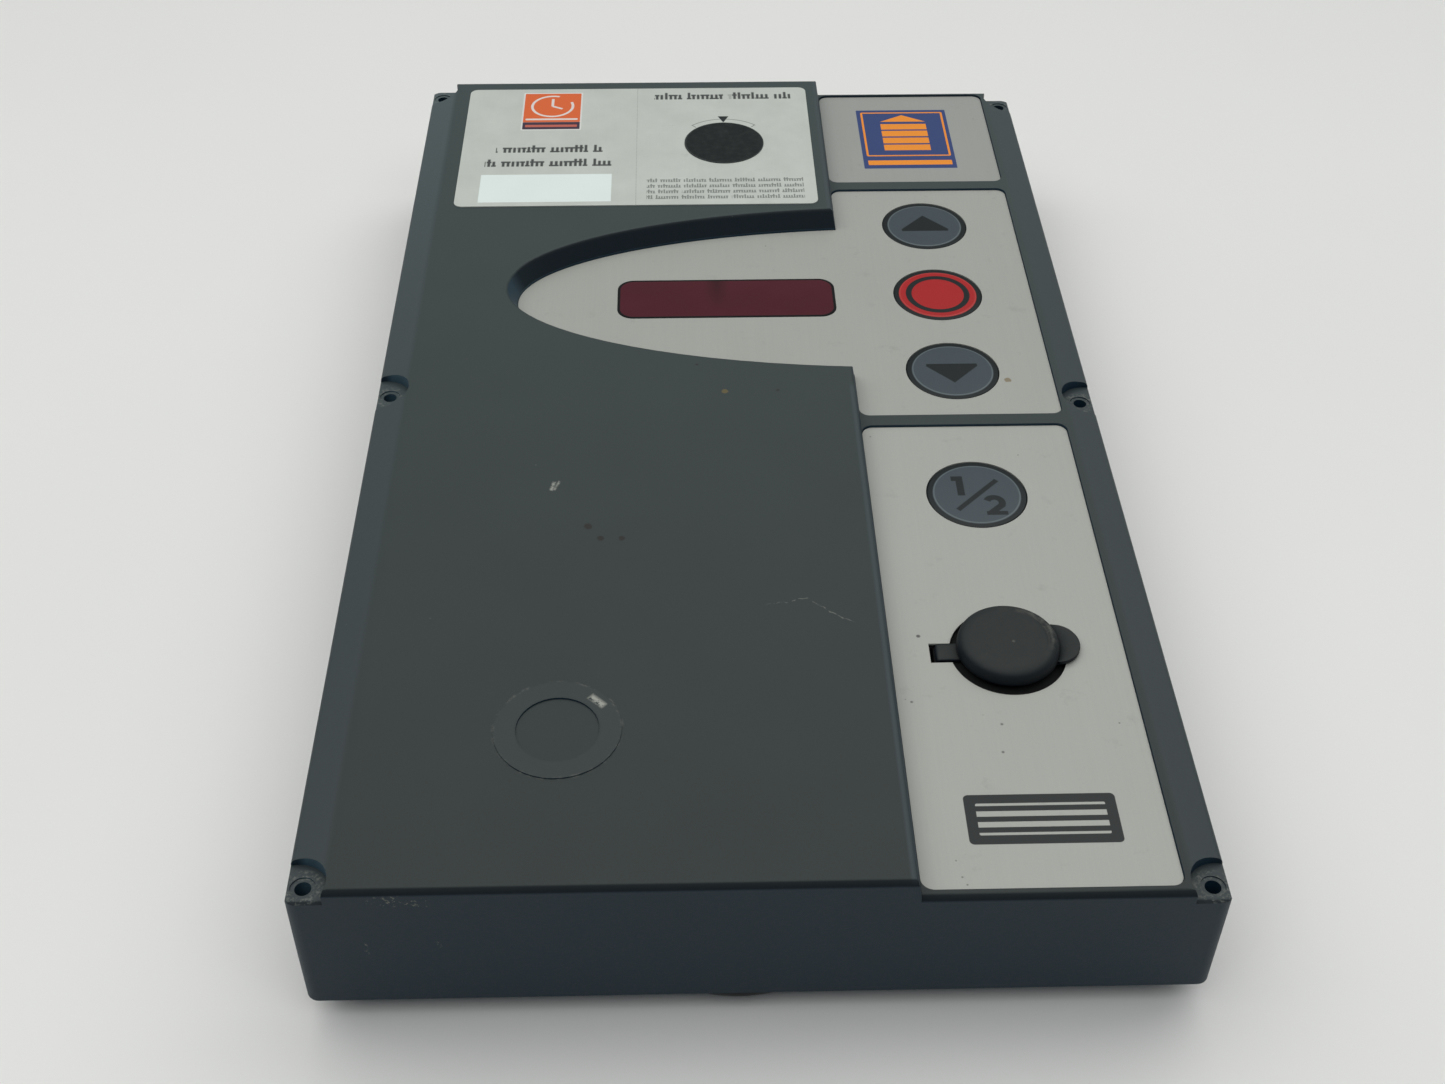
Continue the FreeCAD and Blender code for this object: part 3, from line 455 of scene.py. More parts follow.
# Painted shade: the rounded near rim is painted almost black.
near_rim_shade = faces_far.ramp(-0.2, -0.45) * faces_up.ramp(0.12, 0.35)
near_rim_shade = near_rim_shade.at_least(y.ramp(-171.6, -172.2) * faces_up.ramp(0.3, 0.6))
body = mix(near_rim_shade * 0.8, body, (0.002, 0.006, 0.010, 1.0))

# %% Cover: wear round the knock-out, nicks, scratches and scuffed hole rims
from_centre = disc(x, y, KNOCK_OUT, 0.0)
ring_area = ink(abs(from_centre - 12.1) - 2.3, 0.5) * on_top
body = mix(ring_area * 0.22, body, (0.047, 0.062, 0.062, 1.0))
chipped = ink(stroke(x, y, (-37.6, -118.6), (-34.5, -121.6), 1.5), 0.9)
chipped = chipped * noise(place, 0.9, 3.0, 0.6).ramp(0.36, 0.46)
rim_dust = ink(abs(from_centre - 14.6) - 0.35, 0.5) * noise(place, 0.5, 4.0, 0.7).ramp(0.5, 0.68)
pale_wear = (chipped * 0.75).at_least(rim_dust * 0.14) * on_top

nick = ink(stroke(x, y, (-50.0, -45.4), (-49.3, -42.0), 0.8), 0.5)
nick = nick.at_least(ink(stroke(x, y, (-49.2, -45.2), (-47.9, -41.8), 0.5), 0.5))
nick = nick * noise(place, 1.4, 3.0).ramp(0.36, 0.5)
wavy_y = y + (noise(place, 0.35, 3.0) - 0.5) * 3.0


def hair(point, angle, half_width, centre, radius):
    """A hairline scratch: a wavering line through point that fades out round centre."""
    line = ink(abs(half_plane(x, wavy_y, point, angle)) - half_width, 0.3)
    return line * ink(disc(x, y, centre, radius), 2.0)


hairs = hair((15.0, -88.0), 52.0, 0.08, (18.5, -92.5), 6.5)
hairs = hairs.at_least(hair((9.0, -88.0), 100.0, 0.06, (10.0, -88.0), 5.5))
hairs = hairs * noise(place, 0.8, 3.0).ramp(0.42, 0.55)
scratched = (nick * 0.6).at_least(hairs * 0.42) * on_top
body = mix(pale_wear.at_least(scratched), body, (0.42, 0.43, 0.38, 1.0))
from_hole = disc(across, abs(y), CORNER_HOLE, 0.0).at_most(disc(across, y, MIDDLE_HOLE, 0.0))
scuffed = (1 - shaded_wall) * ink(abs(from_hole - 3.3) - 1.1, 1.0) * noise(place, 1.1, 4.0, 0.75).ramp(0.50, 0.62)
body = mix(scuffed * 0.45, body, (0.20, 0.21, 0.19, 1.0))

# %% Cover: painted shade in the well of the lock, rust, splashes and flecks on the near wall
# Painted shade: the well round the lock, under the rubber cap, is painted almost black.
lock_well_shade = ink(disc(x, y, LOCK, 14.4).at_most(plate(x, y, (48.0, LOCK[1]), (10.0, 7.0), 0.3)), 0.3)
lock_well_shade = lock_well_shade * z.ramp(41.0, 40.7)
body = mix(lock_well_shade, body, (0.0006, 0.0010, 0.0014, 1.0))

rust = spot(x, y, place, (-3.7, -4.2), 0.9, 0.4) * 0.75
splash = spot(x, y, place, (-40.0, -59.5), 1.1)
drops = [((-36.7, -64.2), 0.9), ((-31.3, -64.3), 0.8), ((11.0, -4.0), 0.45), ((-11.3, 8.3), 0.35)]
for centre, radius in drops:
    splash = splash.at_least(spot(x, y, place, centre, radius, 0.3))
body = mix(rust * on_top, body, (0.13, 0.10, 0.035, 1.0))
body = mix(splash * 0.85 * on_top, body, (0.012, 0.010, 0.008, 1.0))
on_wall = y.ramp(-172.2, -172.6)
fleck = ink(stroke(x, z, (-85.4, 31.0), (-84.9, 24.0), 0.7), 0.6)
fleck = fleck.at_least(ink(stroke(x, z, (-69.9, 30.6), (-69.2, 27.2), 0.6), 0.6))
fleck = fleck.at_least(ink(disc(x, z, (-84.2, 23.9), 0.5), 0.5))
fleck = fleck.at_least(ink(disc(x, z, (-43.4, 14.5), 0.4), 0.4))
fleck = fleck.at_least(ink(plate(x, z, (-76.5, 43.6), (13.0, 3.4), 0.5), 0.8) * 0.9)
fleck = fleck * noise(place, 0.9, 4.0, 0.75).ramp(0.56, 0.66)
body = mix(fleck * on_wall * 0.6, body, (0.30, 0.30, 0.22, 1.0))
dust = specks(place, 0.09, 0.28, 0.3) * 0.3
body = mix(dust, body, (0.22, 0.23, 0.21, 1.0))
close(cover_finish, {
    "Base Color": body,
    "Roughness": 0.47 + 0.10 * fine + 0.12 * pale_wear + 0.35 * near_rim_shade.at_least(lock_well_shade),
    "Specular IOR Level": 0.34,
    "Normal": relief(noise(place, 2.2, 3.0, 0.6), 0.00005, 0.55),
})
dress(cover_finish, "front_cover")

# %% [markdown]
# ## The foils
# The keypad column is covered by three grey polyester foils. Their face is finely
# brushed along the cover, and the ink under it is opaque. Grime lies over it in
# clouds, and small insects and splashes leave specks.

# %% Foil finish shared by the three panels
ink_dark = (0.0060, 0.0100, 0.0112, 1.0)


def foil(name, tone, prints):
    """Brushed grey foil: streaks along y, clouds of grime, specks; then its prints on top."""
    material, place = start(name)
    x, y, _ = axes(place)
    streaks = noise(stretch(place, 1.6, 0.02, 1.0), 1.0, 3.0, 0.6)
    grime = noise(stretch(place, 1.0, 0.6, 1.0), 0.045, 4.0, 0.55)
    face = shade(tone, 0.95 + 0.06 * streaks + 0.06 * (grime - 0.5))
    marks = specks(stretch(place, 1.0, 1.0, 0.0), 0.12, 0.32, 0.42) * 0.6
    smear = noise(place, 0.16, 4.0, 0.65).ramp(0.62, 0.78) * 0.16
    face = mix(marks.at_least(smear), face, (0.06, 0.06, 0.05, 1.0))
    face = prints(face, place, x, y)
    close(material, {
        "Base Color": face,
        "Roughness": 0.28 + 0.10 * streaks,
        "Specular IOR Level": 0.3,
        "Normal": relief(streaks, 0.00002, 0.4),
    })
    return material


# %% Upper foil: bare but for specks by the down key
def upper_prints(face, place, x, y):
    brown = spot(x, y, place, (77.3, 7.3), 1.0, 0.3)
    return mix(brown * 0.8, face, (0.20, 0.15, 0.08, 1.0))


dress(foil("upper_foil", (0.372, 0.382, 0.352), upper_prints), "upper_keypad_panel")


# %% Lower foil: a plain sign of a sectional door stands where the unit's number was
def lower_prints(face, place, x, y):
    centre, size = (62.6, -151.5), (34.0, 13.9)
    outer = ink(plate(x, y, centre, size, 1.2))
    inner = ink(plate(x, y, centre, (size[0] - 5.0, size[1] - 5.0), 0.4))
    slats = ink(abs(((y - centre[1]) / 3.0 + 0.5).fract() - 0.5) * 3.0 - 0.75)
    sign = outer * (1 - inner * (1 - slats))
    face = mix(sign, face, ink_dark)
    dots = ink(disc(x, y, (41.0, -94.6), 0.5), 0.3)
    for centre in [(57.4, -123.6), (56.5, -132.1), (37.2, -116.2)]:
        dots = dots.at_least(ink(disc(x, y, centre, 0.3), 0.4))
    return mix(dots * 0.8, face, (0.02, 0.02, 0.02, 1.0))


dress(foil("lower_foil", (0.385, 0.395, 0.365), lower_prints), "lower_keypad_panel")


# %% Top foil: a coloured square with a plain door sign
def top_prints(face, place, x, y):
    centre = (61.5, 142.5)
    blue, orange = colour(48, 66, 116), colour(236, 144, 44)
    face = mix(ink(plate(x, y, centre, (30.9, 38.6), 0.3)), face, blue)
    door = (61.6, 145.7)
    frame_line = ink(abs(plate(x, y, door, (27.6, 28.6), 0.3)) - 0.35)
    leaf = ink(plate(x, y, (61.6, 143.6), (15.6, 18.4), 0.4))
    gaps = ink(abs(((y - 143.6) / 4.6 + 0.5).fract() - 0.5) * 4.6 - 0.45)
    ridge = (61.6, 158.4)
    roof = ink(half_plane(x, y, ridge, 60.0).at_least(half_plane(x, y, ridge, 120.0)).at_least(153.9 - y))
    bar = ink(plate(x, y, (61.6, 126.9), (28.0, 2.9), 0.3))
    sign = frame_line.at_least(leaf * (1 - gaps)).at_least(roof).at_least(bar)
    return mix(sign, face, orange)


dress(foil("top_foil", (0.325, 0.335, 0.315), top_prints), "top_panel")

# %% [markdown]
# ## The service label
# A silvered sticker with a dotted fold, a write-on field and a round black badge under
# a small dial arc. Its words are replaced by rows of plain strokes, which have the
# weight and rhythm of print but say nothing.

# %% Rows of strokes in place of words
def lines_of_strokes(x, y, left, right, bottom, row_height, rows, letter, thick):
    """Upright strokes of random height, joined at top or foot, with gaps between groups."""
    row = ((y - bottom) / row_height).floor()
    v = ((y - bottom) / row_height).fract() * row_height / letter
    u = (x + row * 3.37) / (letter * thick)
    column = u.floor()
    f = u.fract()
    tall = random(column + row * 31.7)
    upright = ink(abs(f - 0.5) - 0.29, 0.2) * ink(v - (0.70 + 0.30 * tall.ramp(0.72, 0.74)), 0.1)
    joined = random(column + row * 17.3 + 900.5)
    at_top = ink(abs(v - 0.60) - 0.11, 0.1) * joined.ramp(0.55, 0.57)
    at_foot = ink(abs(v - 0.10) - 0.11, 0.1) * joined.ramp(0.42, 0.40)
    shape = upright.at_least(at_top).at_least(at_foot)
    group = ((column + row * 5.3) / 9.7).fract().ramp(0.10, 0.11)
    inside = ink(abs(x - (left + right) / 2) - (right - left) / 2)
    field = ink(abs(y - bottom - row_height * rows / 2) - row_height * rows / 2)
    return shape * group * inside * field


# %% Label finish
label_finish, place = start("label_print")
x, y, _ = axes(place)
brushed = noise(stretch(place, 1.8, 0.05, 1.0), 1.0, 3.0, 0.6)
grime = noise(place, 0.07, 5.0, 0.6)
face = shade((0.590, 0.625, 0.580), 0.94 + 0.05 * brushed + 0.26 * (grime - 0.5))
scuff = noise(stretch(place, 0.7, 1.3, 1.0), 0.35, 4.0, 0.7).ramp(0.62, 0.76)
small_patch = ink(disc(x, y, (9.4, 149.4), 2.6), 2.0) * 0.9
wide_patch = ink(disc(x, y, (-2.0, 125.0), 30.0), 20.0) * 0.16
face = mix(scuff * small_patch.at_least(wide_patch), face, (0.10, 0.11, 0.10, 1.0))

field = ink(plate(x, y, (-58.35, 102.6), (42.1, 16.6), 0.2))
face = mix(field, face, shade((0.74, 0.82, 0.80), 0.96 + 0.08 * grime))
fold = ink(abs(x + 29.4) - 0.10, 0.2) * (y / 0.9).fract().ramp(0.4, 0.5)
face = mix(fold * 0.6, face, (0.12, 0.13, 0.13, 1.0))

# %% Label: a small square with a clock face
square_x = -58.3
clock = (square_x, 155.2)
face = mix(ink(plate(x, y, (square_x, 151.8), (20.2, 25.3), 0.4)), face, (0.75, 0.76, 0.73, 1.0))
face = mix(ink(plate(x, y, (square_x, 154.2), (19.2, 19.4), 0.3)), face, colour(226, 104, 48))
face = mix(ink(plate(x, y, (square_x, 142.1), (19.2, 4.7), 0.3)), face, colour(58, 40, 62))
ring = ink(abs(disc(x, y, clock, 6.9)) - 0.45) * (1 - ink(disc(x, y, (-53.5, 160.5), 3.0)))
hands = ink(stroke(x, y, clock, (square_x, 160.2), 0.9))
hands = hands.at_least(ink(stroke(x, y, clock, (-54.9, 153.4), 0.9)))
rule = ink(plate(x, y, (square_x, 146.4), (17.6, 1.1), 0.3))
face = mix(ring.at_least(hands).at_least(rule) * 0.9, face, (0.80, 0.80, 0.77, 1.0))
face = mix(ink(plate(x, y, (square_x, 142.0), (17.4, 1.5), 0.3)) * 0.8, face, colour(214, 110, 88))

# %% Label: the dial arc over the badge, and the strokes
badge = (-0.4, 129.8)
arc = ink(abs(disc(x, y, badge, 15.7)) - 0.10, 0.2) * ink(half_plane(x, y, (badge[0], 141.3), -90.0), 0.2)
tick_left = stroke(x, y, (-9.7, 140.1), (-10.9, 141.5), 0.2)
tick_right = stroke(x, y, (8.9, 140.1), (10.1, 141.5), 0.2)
arc = arc.at_least(ink(tick_left.at_most(tick_right), 0.2))
tip = (badge[0], 143.3)
pointer = half_plane(x, y, tip, -24.0).at_least(half_plane(x, y, tip, -156.0)).at_least(y - 147.4)
strokes = lines_of_strokes(x, y, -23.7, 23.1, 159.2, 5.0, 1, 4.6, 0.34)
strokes = strokes.at_least(lines_of_strokes(x, y, -75.7, -40.6, 124.7, 5.2, 1, 4.6, 0.34))
strokes = strokes.at_least(lines_of_strokes(x, y, -78.8, -37.5, 115.9, 5.0, 1, 4.6, 0.34))
small = lines_of_strokes(x, y, -26.0, 24.4, 95.4, 3.36, 4, 2.3, 0.36) * 0.62
printed = arc.at_least(ink(pointer)).at_least(strokes * 0.92).at_least(small)
face = mix(printed, face, ink_dark)
close(label_finish, {
    "Base Color": face,
    "Roughness": 0.34 + 0.12 * brushed,
    "Metallic": 0.25 * (1 - field),
    "Normal": relief(brushed, 0.00002, 0.4),
})
dress(label_finish, "service_label")

# %% Badge: satin black disc with rubbed-in dust, and a painted highlight round its rim
badge_finish, place = start("badge_black")
x, y, _ = axes(place)
dusty = noise(place, 0.5, 5.0, 0.65)
# Painted highlight: a paler ring along the rim of the badge, added to the dust below.
edge = ink(abs(disc(x, y, badge, 12.9)) - 0.15, 0.3)
dust = dusty.ramp(0.45, 0.8) * 0.05 + edge * 0.12
close(badge_finish, {
    "Base Color": mix(dust, (0.009, 0.013, 0.013, 1.0), (0.3, 0.33, 0.32, 1.0)),
    "Roughness": 0.28 + 0.2 * dusty,
    "Specular IOR Level": 0.12,
    "Normal": relief(noise(place, 1.2, 3.0), 0.00003, 0.4),
})
dress(badge_finish, "label_badge")

# %% [markdown]
# ## The keys
# Four round keys lie flush in the foils: a dark printed rim, then a face raised by a
# hair, so that its edge catches the light. Each is a profile turned round its axis,
# with the flange and stem that hold and drive it underneath. The signs are printed.

# %% Signs on the keys, measured from each key's centre
def arrow(x, y, up):
    """A triangle, 14 wide: under two sloping lines, above a base, its corners cut by a disc."""
    rise = y if up else -1 * y
    apex, slope = (0.0, 5.8), 43.5
    right = half_plane(x, rise, apex, slope)
    left = half_plane(x, rise, apex, 180.0 - slope)
    corners = disc(x, rise, (0.0, -1.6), 7.4)
    return ink(right.at_least(left).at_least(-3.1 - rise).at_least(corners), 0.2)


def one_half(x, y):
    """The fraction: two plain figures parted by a slanting bar."""
    one = plate(x, y, (-4.1, 3.3), (1.95, 7.8), 0.2).at_most(plate(x, y, (-4.7, 6.3), (3.1, 1.9), 0.2))
    bar = stroke(x, y, (-5.7, -6.3), (5.9, 5.5), 1.45)
    bow = (abs(disc(x, y, (4.2, -3.6), 2.05)) - 0.95).at_least(half_plane(x, y, (4.2, -3.8), -118.0))
    leg = stroke(x, y, (6.4, -4.3), (2.6, -7.9), 1.9)
    foot = plate(x, y, (4.5, -7.7), (5.6, 1.5), 0.2)
    return ink(one.at_most(bar).at_most(bow).at_most(leg).at_most(foot), 0.2)


# %% Key finish
def key_finish(name, centre, radius, sign, face_tone, highlight_line_tone):
    """Print of a key: rim, a painted highlight drawn as a thin pale line inside it, the face, and its sign.
    """
    material, place = start(name)
    x, y, _ = axes(place)
    dx, dy = x - centre[0], y - centre[1]
    from_centre = (dx * dx + dy * dy).root()
    brushed = noise(stretch(place, 1.5, 0.05, 1.0), 1.0, 3.0)
    worn = noise(place, 0.12, 4.0)
    tone = shade(face_tone, 0.92 + 0.08 * brushed + 0.10 * worn)
    # Painted highlight: a thin pale ring just inside the rim, where the raised face's edge would catch the
    # light.
    tone = mix(ink(abs(from_centre - radius * 0.862) - 0.16, 0.25) * 0.8, tone, highlight_line_tone)
    tone = mix(sign(dx, dy), tone, ink_dark)
    tone = mix(from_centre.ramp(radius * 0.88, radius * 0.892), tone, (0.0040, 0.0080, 0.0090, 1.0))
    close(material, {
        "Base Color": tone,
        "Roughness": 0.26 + 0.10 * brushed,
        "Specular IOR Level": 0.25,
        "Normal": relief(brushed, 0.00002, 0.3),
    })
    return material


def stop_sign(x, y):
    """A dark ring in the red face."""
    return ink(abs(disc(x, y, (0.0, 0.0), 8.75)) - 0.88, 0.15)


# %% Key bodies
FLANGE_REACH, STEM_RADIUS = 1.6, 2.6


def key_piece(name, node, body, sign, face_tone, highlight_line_tone, slot):
    """Profile of (radius, height) from the crown's centre to the stem's end, turned."""
    low, high = box_in_mm(node)
    centre = (low + high) / 2
    top, stem_end = high[2], low[2] - high[2]
    radius = (high[0] - low[0]) / 2 - FLANGE_REACH
    flange = radius + FLANGE_REACH
    crown = [(0, 0.0), (radius * 0.5, -0.02), (radius * 0.84, -0.06)]
    face_edge = [(radius * 0.875, -0.12), (radius * 0.89, -0.2)]
    rim = [(radius * 0.97, -0.2), (radius - 0.1, -0.26), (radius, -0.45), (radius, -2.6)]
    hidden = [(radius, -2.75), (flange, -2.75), (flange, -3.75)]
    stem = [(STEM_RADIUS, -3.75), (STEM_RADIUS, stem_end), (0, stem_end)]
    profile = np.array(crown + face_edge + rim + hidden + stem) + (0, top)
    points, _ = turn(profile, centre[:2])
    finish = key_finish(name + "_print", centre, radius, sign, face_tone, highlight_line_tone)
    piece = make_piece(name, points, grid_faces(len(profile), TURN_STEPS, True), finish)
    weighted = piece.modifiers.new("hold_edges", "WEIGHTED_NORMAL")
    weighted.keep_sharp = False
    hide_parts(node)
    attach(piece, body)


grey_face, grey_highlight_line = (0.050, 0.067, 0.080), (0.12, 0.15, 0.16, 1.0)
red_face, red_highlight_line = (0.37, 0.012, 0.014), (0.45, 0.05, 0.045, 1.0)
grey = (grey_face, grey_highlight_line, "key_grey")
key_piece("open_key", "key_up", "up_key", lambda x, y: arrow(x, y, True), *grey)
key_piece("stop_button", "key_stop", "stop_key", stop_sign, red_face, red_highlight_line, "key_red")
key_piece("close_key", "key_down", "down_key", lambda x, y: arrow(x, y, False), *grey)
key_piece("half_open_key", "key_half", "half_key", one_half, *grey)

# %% [markdown]
# ## The display window
# A smoked red lens. With the unit switched off only a dim glow of the room comes back
# from it, a little darker where the two digit blocks meet.

# %% Window finish
window_finish, place = start("smoked_red")
x, y, _ = axes(place)
window_low, window_high = box_in_mm("display_window")
middle, size = (window_low + window_high) / 2, window_high - window_low
outline = plate(x, y, middle, size[:2], 4.8).ramp(-0.75, -0.60)
seam = ink(abs(x - middle[0] + 2.8) - 1.6, 5.0) * y.ramp(middle[1] - 6.0, middle[1] + 9.0)
haze = noise(place, 0.08, 4.0)
lens = shade((0.070, 0.0095, 0.0165), 0.85 + 0.3 * haze - 0.65 * seam)
close(window_finish, {
    "Base Color": mix(outline, lens, (0.004, 0.004, 0.005, 1.0)),
    "Roughness": 0.10 + 0.08 * noise(place, 0.25, 4.0),
    "Specular IOR Level": 0.25,
})
dress(window_finish, "display_window")

# %% [markdown]
# ## The rubber cap
# The key lock is kept dry by a soft cap: a low cone with a broad worn shoulder, a
# pull tab on one side and a strap on the other that sits in the cover. The cone is a
# turned profile whose shoulder is pushed up a little where fingers have rolled it.

# %% Rubber finish
rubber_finish, place = start("cap_rubber")
x, y, z = axes(place)
cap_low, cap_high = box_in_mm("lock_cap")
cap_axis = (62.0, (cap_low[1] + cap_high[1]) / 2)
bloom = noise(place, 0.35, 4.0, 0.6)
# Partly rubbed wear and partly a painted highlight: pale patches on the shoulder ridge at the near right.
shoulder = ink(abs(disc(x, y, cap_axis, 0.0) - 10.6) - 0.7, 1.6) * z.ramp(42.0, 43.5)
rubbed_ridge_highlight = shoulder * noise(place, 0.5, 4.0, 0.7).ramp(0.42, 0.62)
rubbed_ridge_highlight = rubbed_ridge_highlight * x.ramp(60.0, 70.0) * y.ramp(cap_axis[1] - 4.0, cap_axis[1])
pip = ink(disc(x, y, (cap_axis[0] + 0.8, cap_axis[1] - 1.0), 0.3), 0.4) * z.ramp(43.0, 43.5)
pale = (rubbed_ridge_highlight * 0.28).at_least(pip * 0.3).at_least(specks(place, 0.22, 0.22, 0.3) * 0.15)
_, _, faces_up = facing_of(place)
# Painted shade: the cap's sides are darker and bluer than its top, chosen by the way the surface faces.
side_shade_tone, top_tone = (0.0015, 0.0050, 0.0090, 1.0), (0.0085, 0.0125, 0.0125, 1.0)
tone = shade(mix(faces_up.ramp(0.55, 0.99), side_shade_tone, top_tone), 0.80 + 0.45 * bloom)
close(rubber_finish, {
    "Base Color": mix(pale, tone, (0.24, 0.24, 0.20, 1.0)),
    "Roughness": 0.50 + 0.22 * bloom,
    "Specular IOR Level": 0.4,
    "Normal": relief(noise(place, 1.5, 3.0), 0.00004, 0.5),
})

# %% Cap body: the turned cone, its shoulder fuller on one side
foil_face = box_in_mm("lower_keypad_panel")[1][2]
cap_foot, cap_top = cap_low[2], cap_high[2]
lip_z = foil_face + 0.7
under = [(0, cap_top - 3.5), (8.2, cap_top - 3.5), (10.7, cap_foot + 0.4), (11.0, cap_foot)]
flange = [(11.2, cap_foot), (11.4, lip_z - 0.5), (12.4, lip_z - 0.4), (12.4, lip_z + 0.8)]
cone = [(12.2, cap_top - 3.5), (11.3, cap_top - 2.5), (9.9, cap_top - 2.05), (8.7, cap_top - 1.9)]
crown = [(4.0, cap_top - 1.75), (0, cap_top - 1.75)]
cap_profile = soften(np.array(under + flange + cone + crown), 3)
cap_points, angle = turn(cap_profile, (cap_axis[0], cap_axis[1] + 0.6))
radius, height = cap_profile[:, :1], cap_profile[:, 1:]
worn_side = np.exp(-((angle - 0.25 + np.pi) % (2 * np.pi) - np.pi) ** 2 / 0.35)
outside = (np.arange(len(cap_profile))[:, None] > len(cap_profile) // 2) & (height > cap_top - 4.0)
fuller = 0.55 * np.exp(-((radius - 10.6) / 0.7) ** 2) - 0.22 * np.exp(-((radius - 9.5) / 0.35) ** 2)
cap_points[..., 2] = np.minimum(cap_points[..., 2] + fuller * worn_side * outside, cap_top)
cap_faces = grid_faces(len(cap_profile), TURN_STEPS, True)
cap_piece = make_piece("rubber_cap", cap_points, cap_faces, rubber_finish)
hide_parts("lock_cap")
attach(cap_piece, "cap")

# %% Pull tab: a half disc of rubber, 1.1 mm thick, rooted in the cap's flange
TAB_RADIUS, TAB_THICKNESS, TAB_EDGE = 6.3, 1.1, 0.35
TAB_ROOT_X, TAB_BASE_X = 72.8, 73.3
TAB_STATIONS = 49
station = np.linspace(-1, 1, TAB_STATIONS)[:, None]
edge = soften(np.array([(0.0, 0.0), (1.0, 0.0), (1.0, 1.0), (0.0, 1.0)]), 3)
edge_out, edge_up = edge[:, 0], edge[:, 1]
tab_half = np.sqrt(np.clip(1 - station**2, 0, 1)) * (TAB_RADIUS - TAB_EDGE) + TAB_EDGE * edge_out
tab_x = np.where(edge_out > 0, TAB_BASE_X + tab_half, TAB_ROOT_X)
tab_y = cap_axis[1] + 1.3 + station * TAB_RADIUS + 0 * edge_out
tab_z = foil_face + 0.5 + TAB_THICKNESS * edge_up + 0 * station
tab = np.stack([tab_x, tab_y, tab_z], -1)
tab_faces = grid_faces(TAB_STATIONS, len(edge), True)
tab_piece = make_piece("pull_tab", tab, tab_faces, rubber_finish)
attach(tab_piece, "cap")

# %% Strap: a flat band, bent down into its slot at the far end
HALF_BREADTH, HALF_THICKNESS = 2.75, 0.5
strap_path = soften(np.array([(45.0, 38.6), (45.0, 40.3), (45.9, 40.45), (51.2, 40.45)]), 3)
along = directions(strap_path)
outward = np.stack([-along[:, 1], along[:, 0]], -1)
ring = np.array([(-1, -1), (1, -1), (1, 1), (-1, 1), (-1, -1)]) * (HALF_BREADTH, HALF_THICKNESS)
section = soften(ring, 2)[:-1]
strap = np.zeros((len(strap_path), len(section), 3))
strap[..., 0] = strap_path[:, :1] + outward[:, :1] * section[:, 1]
strap[..., 1] = cap_axis[1] + 0.6 + section[:, 0]
strap[..., 2] = strap_path[:, 1:] + outward[:, 1:] * section[:, 1]
strap_faces = grid_faces(len(strap_path), len(section), True)
strap_piece = make_piece("cap_strap", strap, strap_faces, rubber_finish)
bend_y = cap_axis[1] * MM
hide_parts("strap_anchor")
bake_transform(strap_piece)

# %% [markdown]
# ## The seal
# A round cord of black rubber runs between cover and housing. At the near wall it has
# slipped out and hangs as a shallow loop.

# %% Seal finish and the slipped loop
seal_finish, place = start("seal_rubber")
dull = noise(place, 0.6, 4.0)
close(seal_finish, {
    "Base Color": shade((0.012, 0.012, 0.013), 0.7 + 0.6 * dull),
    "Roughness": 0.55 + 0.2 * dull,
    "Normal": relief(dull, 0.00004, 0.5),
})
dress(seal_finish, "housing_seal", "cable_grommets")

LOOP_CENTRE_X, LOOP_HALF_LENGTH, LOOP_Y = -4.5, 15.5, -171.8
LOOP_Z, LOOP_SAG, CORD_RADIUS = 9.6, 2.8, 1.1
LOOP_STATIONS, CORD_STEPS = 61, 16
run = np.linspace(-1, 1, LOOP_STATIONS)
hanging = LOOP_Z - LOOP_SAG * np.cos(run * np.pi / 2) ** 2
loop = np.stack([LOOP_CENTRE_X + LOOP_HALF_LENGTH * run, LOOP_Y + 0 * run, hanging], -1)
around = np.linspace(0, 2 * np.pi, CORD_STEPS, endpoint=False)[:, None]
level = np.array([0.0, 1.0, 0.0])
upward = np.cross(directions(loop), level)
cord = loop[:, None] + CORD_RADIUS * (np.cos(around) * level + np.sin(around) * upward[:, None])
cord_faces = grid_faces(LOOP_STATIONS, CORD_STEPS, True)
loop_piece = make_piece("seal_loop", cord, cord_faces, seal_finish)
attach(loop_piece, "cover_unit")

# %% [markdown]
# ## Inside and behind
# The rest shows when the cover is lifted or the unit turned over: the shallow rear
# housing, the two boards and their parts, and the lock. Each gets its own finish from
# one of a few recipes.

# %% Recipes for plastics and metals
def moulded(name, tone, roughness, grain_scale, depth):
    """Moulded plastic: faint clouds in the colour, a grain in the skin."""
    material, place = start(name)
    cloud = noise(place, 0.08, 3.0)
    grain = noise(place, grain_scale, 3.0)
    close(material, {
        "Base Color": shade(tone, 0.85 + 0.3 * cloud),
        "Roughness": roughness + 0.12 * grain,
        "Normal": relief(grain, depth, 0.6),
    })
    return material


def metal(name, tone, roughness, lines):
    """Turned or rolled metal: fine lines across, dull patches, a little tarnish."""
    material, place = start(name)
    fine = noise(stretch(place, lines, 0.4, lines), 1.0, 3.0)
    tarnish = noise(place, 0.25, 4.0)
    close(material, {
        "Base Color": shade(tone, 0.75 + 0.4 * tarnish),
        "Metallic": 1.0,
        "Roughness": roughness + 0.2 * fine + 0.15 * tarnish,
        "Normal": relief(fine, 0.00002, 0.5),
    })
    return material


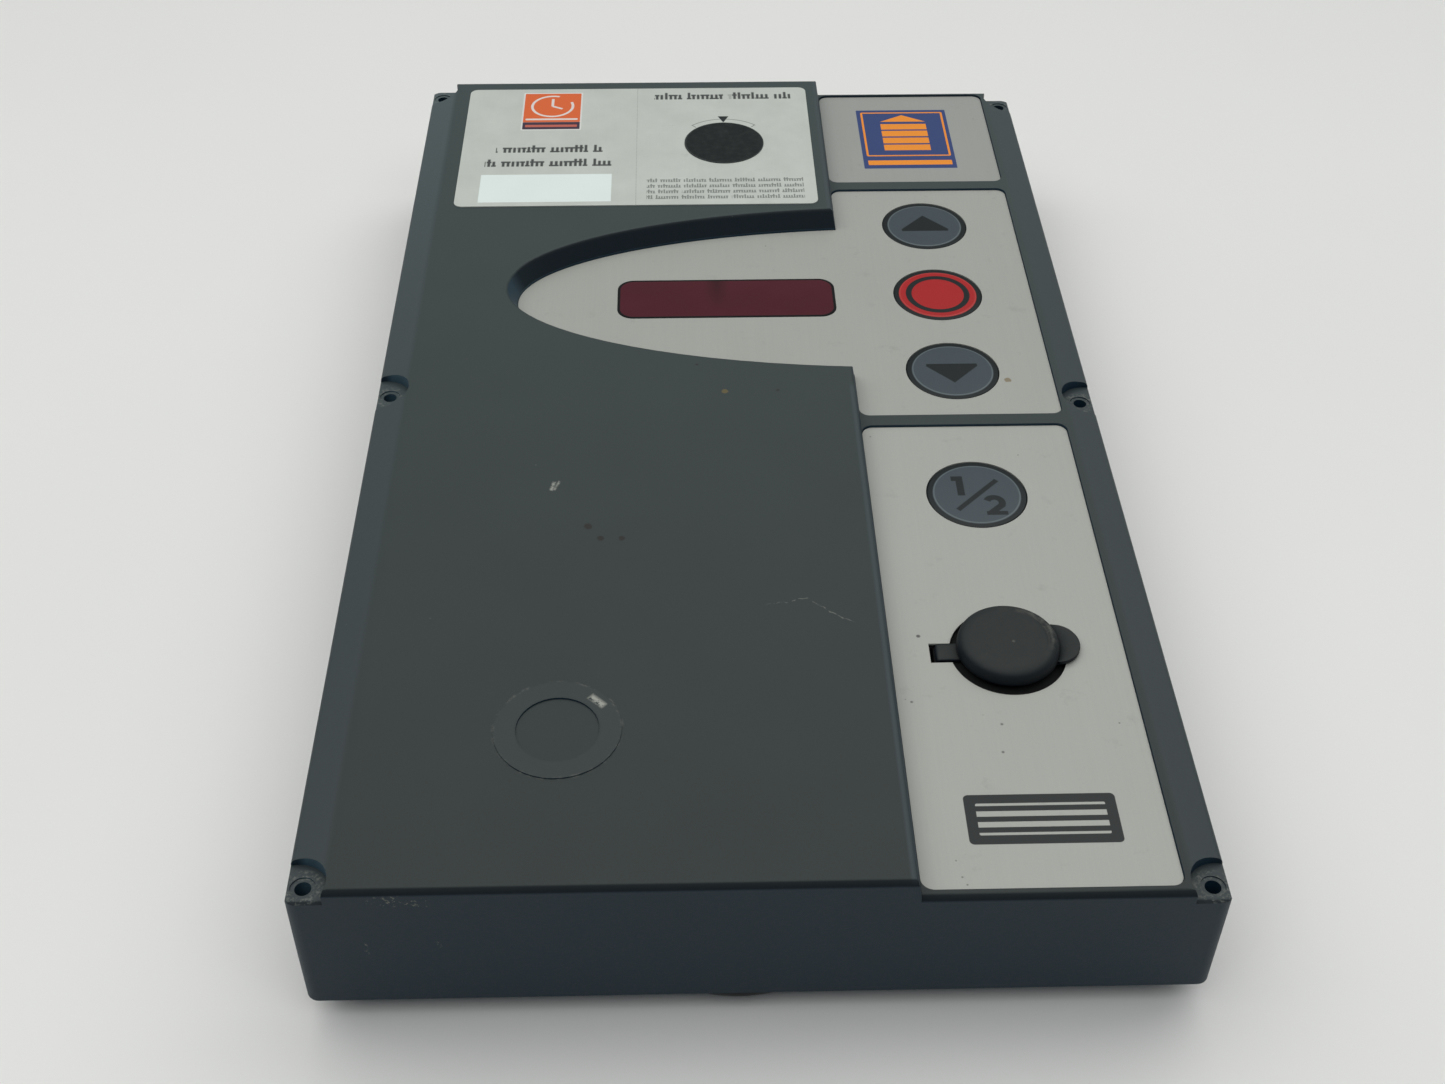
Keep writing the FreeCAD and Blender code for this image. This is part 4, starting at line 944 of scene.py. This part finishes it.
# %% Housing, lock, screws and relays
dress(moulded("housing_plastic", (0.045, 0.056, 0.058), 0.5, 1.4, 0.00005), "rear_housing")
dress(metal("lock_metal", (0.66, 0.66, 0.65), 0.22, 3.0), "lock_body", "lock_core")
dress(metal("nut_metal", (0.72, 0.62, 0.42), 0.30, 1.5), "lock_nut")
dress(metal("cam_steel", (0.60, 0.60, 0.60), 0.28, 2.5), "lock_cam")
dress(
    metal("screw_steel", (0.62, 0.62, 0.60), 0.25, 4.0),
    "cam_screw", "microswitch_screws", "keypad_board_screws", "control_board_screws", "terminal_screws",
)
dress(metal("core_steel", (0.34, 0.34, 0.35), 0.40, 6.0), "transformer_core")
dress(
    moulded("part_black", (0.018, 0.018, 0.020), 0.42, 2.5, 0.00003),
    "key_switches", "microswitch", "microcontroller",
)
dress(moulded("relay_blue", (0.02, 0.08, 0.30), 0.32, 0.8, 0.00002), "relays")
dress(
    moulded("header_black", (0.02, 0.02, 0.02), 0.38, 2.0, 0.00003),
    "keypad_socket", "control_header", "fuse_holder",
)
dress(moulded("terminal_green", (0.04, 0.28, 0.09), 0.36, 1.2, 0.00002), "terminal_blocks")
dress(moulded("display_face", (0.03, 0.03, 0.032), 0.30, 1.0, 0.00002), "digit_display")
dress(moulded("can_sleeve", (0.02, 0.03, 0.08), 0.28, 1.0, 0.00002), "capacitors")
dress(moulded("coil_tape", (0.62, 0.46, 0.10), 0.35, 0.6, 0.00004), "transformer_coil")
dress(moulded("fuse_glass", (0.62, 0.66, 0.66), 0.12, 0.5, 0.00001), "glass_fuse")

# %% Circuit boards: green lacquer over copper tracks and pads
PIN_PITCH = 2.54
board_finish, place = start("board_green")
x, _, _ = axes(place)
track = (x / PIN_PITCH + noise(place, 0.03, 1.0) * 3.0).fract()
track = ink(abs(track - 0.5) * PIN_PITCH - 0.35, 0.15)
track = track * noise(stretch(place, 0.2, 1.0, 1.0), 0.12, 1.0).ramp(0.46, 0.5)
pad = specks(place, 0.25, 0.7, 0.6)
lacquer = mix(track, (0.012, 0.085, 0.035, 1.0), (0.030, 0.150, 0.060, 1.0))
close(board_finish, {
    "Base Color": mix(pad, lacquer, (0.62, 0.60, 0.55, 1.0)),
    "Metallic": pad,
    "Roughness": 0.3 + 0.15 * noise(place, 0.8, 3.0),
    "Normal": relief(track.at_least(pad), 0.00004, 0.6),
})
dress(board_finish, "keypad_board", "control_board")
